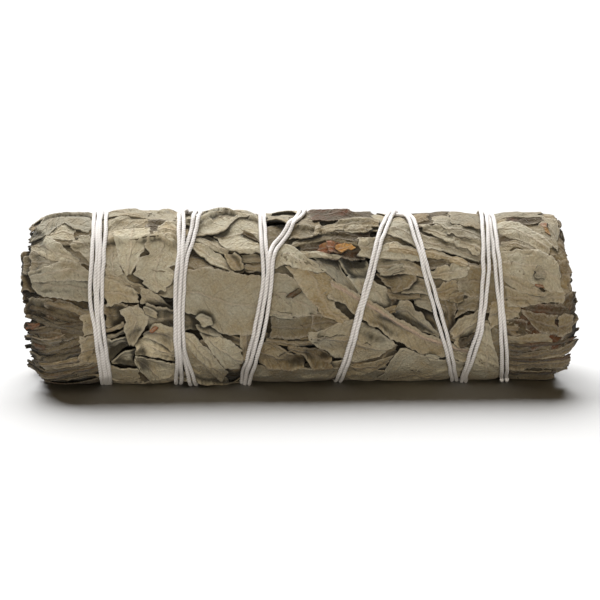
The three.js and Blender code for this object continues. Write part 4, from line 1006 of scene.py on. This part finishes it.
STEMS = [
    # towards the back, above the axis, thickness, left and right ends
    (0.7, 0.9, 3, -46.5, 44.6),
    (-7.3, 1.4, 2.4, -45.2, 47.2),
    (-3.6, 7.4, 2, -44.4, 45.4),
    (4.6, 7.2, 2.4, -46.8, 46.2),
    (8.1, -0.6, 2, -45.6, 44.8),
    (3.4, -7.2, 2.6, -47.2, 48.4),
    (-4.8, -6.3, 2.2, -44.8, 49),
]


def cell_reach(which, direction):
    """How far a stem's own leaves spread before they meet the next stem's."""
    y, z = STEMS[which][:2]
    dy, dz = np.cos(direction), np.sin(direction)
    along = y * dy + z * dz
    most = -along + np.sqrt(along ** 2 - (y * y + z * z) + PACKED_RADIUS ** 2)
    for number, other in enumerate(STEMS):
        if number == which:
            continue
        oy, oz = other[0] - y, other[1] - z
        towards = oy * dy + oz * dz
        apart = math.hypot(oy, oz)
        limit = np.where(towards > 1e-6, (apart / 2 - 0.2) * apart / np.maximum(towards, 1e-6), 99)
        most = np.minimum(most, limit)
    return most


def sprig_leaves(which, layers=17):
    """Leaves folded round one stem, their ragged ends standing out at both ends."""
    piece = Piece()
    y, z = STEMS[which][:2]
    for number in range(layers):
        share = 0.26 + 0.8 * (number + 0.5) / layers
        start = rng.uniform(0, 2 * math.pi)
        sweep = rng.uniform(1.0, 3.2)
        curl = rng.uniform(-0.22, 0.22)
        outs = rng.uniform(44, 49.6, 2)
        edge = 1 - (1 - np.linspace(0, 1, 13)) ** 1.6
        s = np.concatenate([-30 - 20 * edge[::-1], np.linspace(-24, 24, 5), 30 + 20 * edge])
        s = s[:, None] + np.zeros((1, 33))
        t = np.linspace(0, 1, 33)[None, :] + 0 * s
        seed = rng.uniform(0, 300)
        ragged = 1.4 * ripple(t * 4, 1.0, seed) + 1.0 * ripple(t * 11, 5.0, seed)
        most = np.where(s > 0, outs[0], outs[1]) + ragged - 1.9
        x = s * most / 50
        direction = start + sweep * t + 0.1 * ripple(x / 4, t * 3, seed + 7)
        loose = smooth_step(36, 48, np.abs(x))
        wave = (0.05 + 0.09 * loose) * ripple(x / 6, t * sweep * 1.6, seed + 1)
        wave += (0.02 + 0.05 * loose) * creases(x / 9, t * sweep * 3, seed + 2)
        wave += 0.03 * loose * ripple(x / 2, t * 13, seed + 3)
        out = cell_reach(which, direction) * np.clip(share + curl * (t - 0.5) + wave, 0.22, 1.05)
        shorter = 3 * smooth_step(30, 50, x) * smooth_step(1, 9, z + out * np.sin(direction))
        top = np.stack([x - shorter, y + out * np.cos(direction),
                        AXIS_HEIGHT + z + out * np.sin(direction)], -1)
        under = top + sheet_normals(top) * LEAF_THICKNESS
        rim = 1 - smooth_step(0, 1.5, most - np.abs(x))
        flat = np.stack([x, t * 8], -1)
        tone = (rng.uniform(0.3, 1.05), rng.uniform(0.25, 0.6), rng.rand())
        piece.add_sheet(under, top, flat, tone, rim)
    return piece


def stem_rod(which):
    """A slightly crooked, ridged woody stem."""
    y, z, thick, left, right = STEMS[which]
    piece = Piece()
    x = np.linspace(left, right, 120)[:, None] + np.zeros((1, 16))
    around = np.linspace(0, 2 * np.pi, 16, endpoint=False)[None, :] + 0 * x
    crook = 0.25 * np.sin(x / 9 + which)
    ridge = 1 + 0.06 * np.cos(around * 4 + x / 14) + 0.04 * ripple(x / 3, around * 2, which)
    radius = thick / 2 * 0.96 * ridge
    points = np.stack([x, y + crook + radius * np.cos(around),
                       AXIS_HEIGHT + z + crook + radius * np.sin(around)], -1)
    piece.add_tube(points, np.stack([x, around], -1), (0.5, 0.5, 0.5), 0 * x)
    return piece


def new_material(name):
    """A material with its Principled shader, and its node tree."""
    material = bpy.data.materials.new(name)
    material.use_nodes = True
    tree = material.node_tree
    tree.nodes.clear()
    shader = tree.nodes.new("ShaderNodeBsdfPrincipled")
    out = tree.nodes.new("ShaderNodeOutputMaterial")
    tree.links.new(shader.outputs["BSDF"], out.inputs["Surface"])
    return material, tree, shader


def attribute(tree, name, output):
    """What each point of the mesh holds under a name."""
    made = tree.nodes.new("ShaderNodeAttribute")
    made.attribute_name = name
    return made.outputs[output]


def math_node(tree, operation, a, b=None, clamp=False):
    """A sum of one or two values, each a number or a socket."""
    made = tree.nodes.new("ShaderNodeMath")
    made.operation = operation
    made.use_clamp = clamp
    for socket, value in zip(made.inputs, (a, b)):
        if value is None:
            continue
        if isinstance(value, (int, float)):
            socket.default_value = value
        else:
            tree.links.new(value, socket)
    return made.outputs[0]


def mix_colour(tree, share, a, b):
    """From the first colour towards the second by a share, each given as it is or as a socket."""
    made = tree.nodes.new("ShaderNodeMix")
    made.data_type = "RGBA"
    for socket, value in ((made.inputs[0], share), (made.inputs[6], a), (made.inputs[7], b)):
        if isinstance(value, (int, float)):
            socket.default_value = value
        elif isinstance(value, tuple):
            socket.default_value = (*value, 1)
        else:
            tree.links.new(value, socket)
    return made.outputs[2]


def texture(tree, kind, where, scale, **settings):
    """A texture node, its settings given by socket or by property name."""
    made = tree.nodes.new(kind)
    tree.links.new(where, made.inputs["Vector"])
    made.inputs["Scale"].default_value = scale
    for key, value in settings.items():
        if key in made.inputs:
            made.inputs[key].default_value = value
        else:
            setattr(made, key, value)
    return made


def remap(tree, value, low, high, new_low=0.0, new_high=1.0):
    """A value taken from one range evenly to another."""
    made = tree.nodes.new("ShaderNodeMapRange")
    tree.links.new(value, made.inputs["Value"])
    for key, number in (("From Min", low), ("From Max", high), ("To Min", new_low), ("To Max", new_high)):
        made.inputs[key].default_value = number
    return made.outputs["Result"]


def leaf_veins_group():
    """Midrib, side veins and the fine pebbled net between them, from a leaf's own plane in millimetres."""
    group = bpy.data.node_groups.new("sage_leaf_veins", "ShaderNodeTree")
    group.interface.new_socket("Leaf Plane", in_out="INPUT", socket_type="NodeSocketVector")
    for name, default in (("Vein Spacing", 2.6), ("Pebble Size", 0.55)):
        made = group.interface.new_socket(name, in_out="INPUT", socket_type="NodeSocketFloat")
        made.default_value = default
    for name in ("Veins", "Pebbles", "Height"):
        group.interface.new_socket(name, in_out="OUTPUT", socket_type="NodeSocketFloat")
    enter = group.nodes.new("NodeGroupInput")
    leave = group.nodes.new("NodeGroupOutput")
    plane = enter.outputs["Leaf Plane"]
    bent = group.nodes.new("ShaderNodeVectorMath")
    bent.operation = "MULTIPLY_ADD"
    noise = texture(group, "ShaderNodeTexNoise", plane, 0.6, Detail=2.0)
    group.links.new(noise.outputs["Color"], bent.inputs[0])
    bent.inputs[1].default_value = (0.9, 0.9, 0)
    group.links.new(plane, bent.inputs[2])
    parts = group.nodes.new("ShaderNodeSeparateXYZ")
    group.links.new(bent.outputs[0], parts.inputs[0])
    side = math_node(group, "ABSOLUTE", math_node(group, "SUBTRACT", parts.outputs["Y"], 0.45))
    slanted = math_node(group, "SUBTRACT", parts.outputs["X"], math_node(group, "MULTIPLY", side, 0.9))
    step = math_node(group, "DIVIDE", slanted, enter.outputs["Vein Spacing"])
    wave = math_node(group, "ABSOLUTE", math_node(group, "SUBTRACT", math_node(group, "FRACT", step), 0.5))
    side_veins = remap(group, wave, 0.0, 0.11, 1.0, 0.0)
    midrib = remap(group, side, 0.1, 0.42, 1.0, 0.0)
    veins = math_node(group, "MAXIMUM", math_node(group, "MULTIPLY", side_veins, 0.6), midrib, clamp=True)
    scale = math_node(group, "DIVIDE", 1.0, enter.outputs["Pebble Size"])
    cells = texture(group, "ShaderNodeTexVoronoi", bent.outputs[0], 1.0, feature="SMOOTH_F1")
    group.links.new(scale, cells.inputs["Scale"])
    pebbles = remap(group, cells.outputs["Distance"], 0.1, 0.62, 1.0, 0.0)
    height = math_node(group, "ADD", math_node(group, "MULTIPLY", veins, 0.9),
                       math_node(group, "MULTIPLY", pebbles, 0.55))
    group.links.new(veins, leave.inputs["Veins"])
    group.links.new(pebbles, leave.inputs["Pebbles"])
    group.links.new(height, leave.inputs["Height"])
    return group


VEIN = (0.4, 0.33, 0.25)
BROAD_RIB = (0.4, 0.3, 0.225)
# pale rubbed leaf edge, partly a painted highlight where the edges catch the light
WORN_EDGE_AND_HIGHLIGHT = (0.44, 0.39, 0.315)
RUST = (0.27, 0.07, 0.012)
GOLD = (0.6, 0.32, 0.06)


def leaf_material(name, veins, pale, tan, brown, lightness):
    """Dry felted leaf, from pale through tan, brown and rust to gold by its tone, with painted shade where
    other leaves cover it and on its under side.
    """
    material, tree, shader = new_material(name)
    plane = attribute(tree, "leaf_plane", "Vector")
    leaf_tone = attribute(tree, "leaf_tone", "Vector")
    tones = tree.nodes.new("ShaderNodeSeparateXYZ")
    tree.links.new(leaf_tone, tones.inputs[0])
    rim = attribute(tree, "leaf_rim", "Fac")
    painted_shade = attribute(tree, "leaf_painted_shade", "Fac")
    shifted = tree.nodes.new("ShaderNodeVectorMath")
    shifted.operation = "MULTIPLY_ADD"
    tree.links.new(leaf_tone, shifted.inputs[0])
    shifted.inputs[1].default_value = (0, 0, 90)
    tree.links.new(plane, shifted.inputs[2])
    own = shifted.outputs[0]
    net = tree.nodes.new("ShaderNodeGroup")
    net.node_tree = veins
    tree.links.new(plane, net.inputs["Leaf Plane"])
    net.inputs["Vein Spacing"].default_value = 2.4
    net.inputs["Pebble Size"].default_value = 0.42
    blotch = texture(tree, "ShaderNodeTexNoise", own, 0.22, Detail=4.0, Roughness=0.6)
    fine = texture(tree, "ShaderNodeTexNoise", own, 3.0, Detail=5.0, Roughness=0.7)
    age = math_node(tree, "ADD", tones.outputs["X"],
                    remap(tree, blotch.outputs["Fac"], 0.3, 0.7, -0.3, 0.3))
    ramp = tree.nodes.new("ShaderNodeValToRGB")
    tree.links.new(math_node(tree, "MULTIPLY", age, 0.5), ramp.inputs["Fac"])
    ramp.color_ramp.elements[0].color = (*pale, 1)
    ramp.color_ramp.elements[1].color = (*GOLD, 1)
    for place, shade in ((0.32, tan), (0.5, brown), (0.72, RUST)):
        ramp.color_ramp.elements.new(place).color = (*shade, 1)
    colour = ramp.outputs["Color"]
    colour = mix_colour(tree, math_node(tree, "MULTIPLY", net.outputs["Pebbles"], 0.3), colour,
                        tuple(1.35 * part for part in pale))
    colour = mix_colour(tree, math_node(tree, "MULTIPLY", net.outputs["Veins"], 0.35), colour, VEIN)
    places = tree.nodes.new("ShaderNodeSeparateXYZ")
    tree.links.new(plane, places.inputs[0])
    from_rib = math_node(tree, "ABSOLUTE", places.outputs["Y"])
    band = math_node(tree, "MULTIPLY", remap(tree, from_rib, 0.3, 0.48, 0.85, 0.0), places.outputs["Z"])
    colour = mix_colour(tree, band, colour, BROAD_RIB)
    grain = remap(tree, fine.outputs["Fac"], 0.25, 0.75, 0.72, 1.22)
    shade = math_node(tree, "MULTIPLY", grain, remap(tree, tones.outputs["Y"], 0.0, 1.0, 0.35, 1.6))
    # painted shade: covered places and under sides go down to 0.13 of the colour
    shade = math_node(tree, "MULTIPLY", shade, remap(tree, painted_shade, 0.0, 1.0, lightness, lightness * 0.13))
    scaled = tree.nodes.new("ShaderNodeVectorMath")
    scaled.operation = "SCALE"
    tree.links.new(colour, scaled.inputs[0])
    tree.links.new(shade, scaled.inputs["Scale"])
    colour = scaled.outputs[0]
    # pale edges: partly rubbed felt, partly a painted highlight; none where there is painted shade
    wear_and_highlight = math_node(tree, "MULTIPLY", rim, remap(tree, fine.outputs["Fac"], 0.35, 0.6, 0.05, 0.5))
    wear_and_highlight = math_node(tree, "MULTIPLY", wear_and_highlight, remap(tree, painted_shade, 0.0, 0.5, 1.0, 0.0))
    colour = mix_colour(tree, wear_and_highlight, colour, WORN_EDGE_AND_HIGHLIGHT)
    tree.links.new(colour, shader.inputs["Base Color"])
    shader.inputs["Roughness"].default_value = 0.9
    shader.inputs["Specular IOR Level"].default_value = 0.2
    shader.inputs["Sheen Weight"].default_value = 0.1
    shader.inputs["Sheen Roughness"].default_value = 0.5
    height = math_node(tree, "ADD", net.outputs["Height"],
                       math_node(tree, "MULTIPLY", fine.outputs["Fac"], 0.9))
    bump = tree.nodes.new("ShaderNodeBump")
    bump.inputs["Strength"].default_value = 1.0
    bump.inputs["Distance"].default_value = 0.00022
    tree.links.new(height, bump.inputs["Height"])
    tree.links.new(bump.outputs["Normal"], shader.inputs["Normal"])
    return material


def string_material():
    """Undyed cotton with painted shade between the plies, and fine fibres."""
    material, tree, shader = new_material("cotton_string")
    plane = attribute(tree, "leaf_plane", "Vector")
    ply = attribute(tree, "leaf_rim", "Fac")
    fibre = texture(tree, "ShaderNodeTexNoise", plane, 5.0, Detail=4.0, Roughness=0.7, Distortion=0.6)
    # painted shade: darker where the ply shape dips between the plies
    colour = mix_colour(tree, remap(tree, ply, 0.1, 0.9), (0.42, 0.395, 0.385), (0.74, 0.72, 0.72))
    colour = mix_colour(tree, remap(tree, fibre.outputs["Fac"], 0.35, 0.7, 0.0, 0.3), colour,
                        (0.54, 0.52, 0.49))
    tree.links.new(colour, shader.inputs["Base Color"])
    shader.inputs["Roughness"].default_value = 0.88
    shader.inputs["Specular IOR Level"].default_value = 0.2
    shader.inputs["Sheen Weight"].default_value = 0.3
    bump = tree.nodes.new("ShaderNodeBump")
    bump.inputs["Strength"].default_value = 0.5
    bump.inputs["Distance"].default_value = 0.0001
    tree.links.new(fibre.outputs["Fac"], bump.inputs["Height"])
    tree.links.new(bump.outputs["Normal"], shader.inputs["Normal"])
    return material


def stem_material():
    """Woody bark with its grain along the stem."""
    material, tree, shader = new_material("woody_stem")
    plane = attribute(tree, "leaf_plane", "Vector")
    stretched = tree.nodes.new("ShaderNodeVectorMath")
    stretched.operation = "MULTIPLY"
    tree.links.new(plane, stretched.inputs[0])
    stretched.inputs[1].default_value = (0.35, 3.0, 1)
    bark = texture(tree, "ShaderNodeTexNoise", stretched.outputs[0], 1.6, Detail=5.0, Roughness=0.65)
    colour = mix_colour(tree, remap(tree, bark.outputs["Fac"], 0.3, 0.7), (0.11, 0.065, 0.03),
                        (0.36, 0.26, 0.15))
    tree.links.new(colour, shader.inputs["Base Color"])
    shader.inputs["Roughness"].default_value = 0.85
    bump = tree.nodes.new("ShaderNodeBump")
    bump.inputs["Strength"].default_value = 0.6
    bump.inputs["Distance"].default_value = 0.0003
    tree.links.new(bark.outputs["Fac"], bump.inputs["Height"])
    tree.links.new(bump.outputs["Normal"], shader.inputs["Normal"])
    return material


def white_table():
    """The plain pale table that the bunch lies on."""
    bpy.ops.mesh.primitive_plane_add(size=6)
    table = bpy.context.object
    table.name = "table"
    material, _, shader = new_material("white_table")
    shader.inputs["Base Color"].default_value = (0.525, 0.525, 0.525, 1)
    shader.inputs["Roughness"].default_value = 0.9
    table.data.materials.append(material)


def soft_lamp(name, tilt, spread_degrees, strength, tint):
    """A sun lamp, the softer the wider it spreads, tilted in degrees from straight overhead."""
    lamp = bpy.data.lights.new(name, "SUN")
    lamp.angle = math.radians(spread_degrees)
    lamp.energy = strength
    lamp.color = tint
    made = bpy.data.objects.new(name, lamp)
    bpy.context.collection.objects.link(made)
    made.rotation_euler = (math.radians(tilt[0]), math.radians(tilt[1]), 0)
    return made


def soft_lights(bunch):
    """A broad lamp from overhead, and two from the front that leave the bunch's shadow on the table alone."""
    scene = bpy.context.scene
    scene.view_settings.view_transform = "Standard"
    scene.view_settings.look = "None"
    scene.world = bpy.data.worlds.new("studio")
    scene.world.use_nodes = True
    background = scene.world.node_tree.nodes["Background"]
    background.inputs["Color"].default_value = (1.0, 0.78, 0.46, 1)
    background.inputs["Strength"].default_value = 0.058
    soft_lamp("overhead", (-35, -8), 54, 7.5, (1, 1, 1))
    lit = bpy.data.collections.new("lit_from_the_front")
    for piece in bunch:
        lit.objects.link(piece)
    for lamp in (soft_lamp("front_window", (52, -18), 18, 1.12, (1, 0.95, 0.84)),
                 soft_lamp("low_front", (87, -10), 8, 1.0, (1, 0.92, 0.78))):
        lamp.light_linking.receiver_collection = lit


def photo_camera():
    """The camera, where the photograph was taken from."""
    camera = bpy.data.cameras.new("camera")
    camera.sensor_width = 36
    camera.lens = camera.sensor_width * FOCAL_PIXELS / PICTURE_SIZE
    made = bpy.data.objects.new("camera", camera)
    bpy.context.collection.objects.link(made)
    made.location = (Vector(AIMED_AT) + Vector(TOWARDS_CAMERA) * CAMERA_DISTANCE) * 0.001
    made.rotation_euler = Matrix((TO_THE_RIGHT, TO_THE_TOP, TOWARDS_CAMERA)).transposed().to_euler()
    camera.clip_start = 0.01
    bpy.context.scene.camera = made


photo_camera()
white_table()

veins = leaf_veins_group()
outside = leaf_material("sage_leaf_outside", veins, (0.343, 0.317, 0.242), (0.265, 0.198, 0.103),
                        (0.122, 0.074, 0.028), 1.0)
inside = leaf_material("sage_leaf_inside", veins, (0.27, 0.235, 0.15), (0.2, 0.14, 0.07),
                       (0.09, 0.055, 0.025), 0.85)
cotton = string_material()
bark = stem_material()

under, outer = wrapped_leaves()
bunch = [under.build("wrap_under_leaves", ["outer_leaves"], "leaf_outside", outside),
         outer.build("wrap_outer_leaves", ["outer_leaves"], "leaf_outside", outside),
         string_strands().build("string_strands", ["string"], "cotton_string", cotton)]
for which in range(len(STEMS)):
    sprig = f"sprig_{which + 1}"
    bunch += [sprig_leaves(which).build(f"{sprig}_folded_leaves", [f"{sprig}_leaves"], "leaf_inside", inside),
              stem_rod(which).build(f"{sprig}_bark", [f"{sprig}_stem"], "woody_stem", bark)]
soft_lights(bunch)
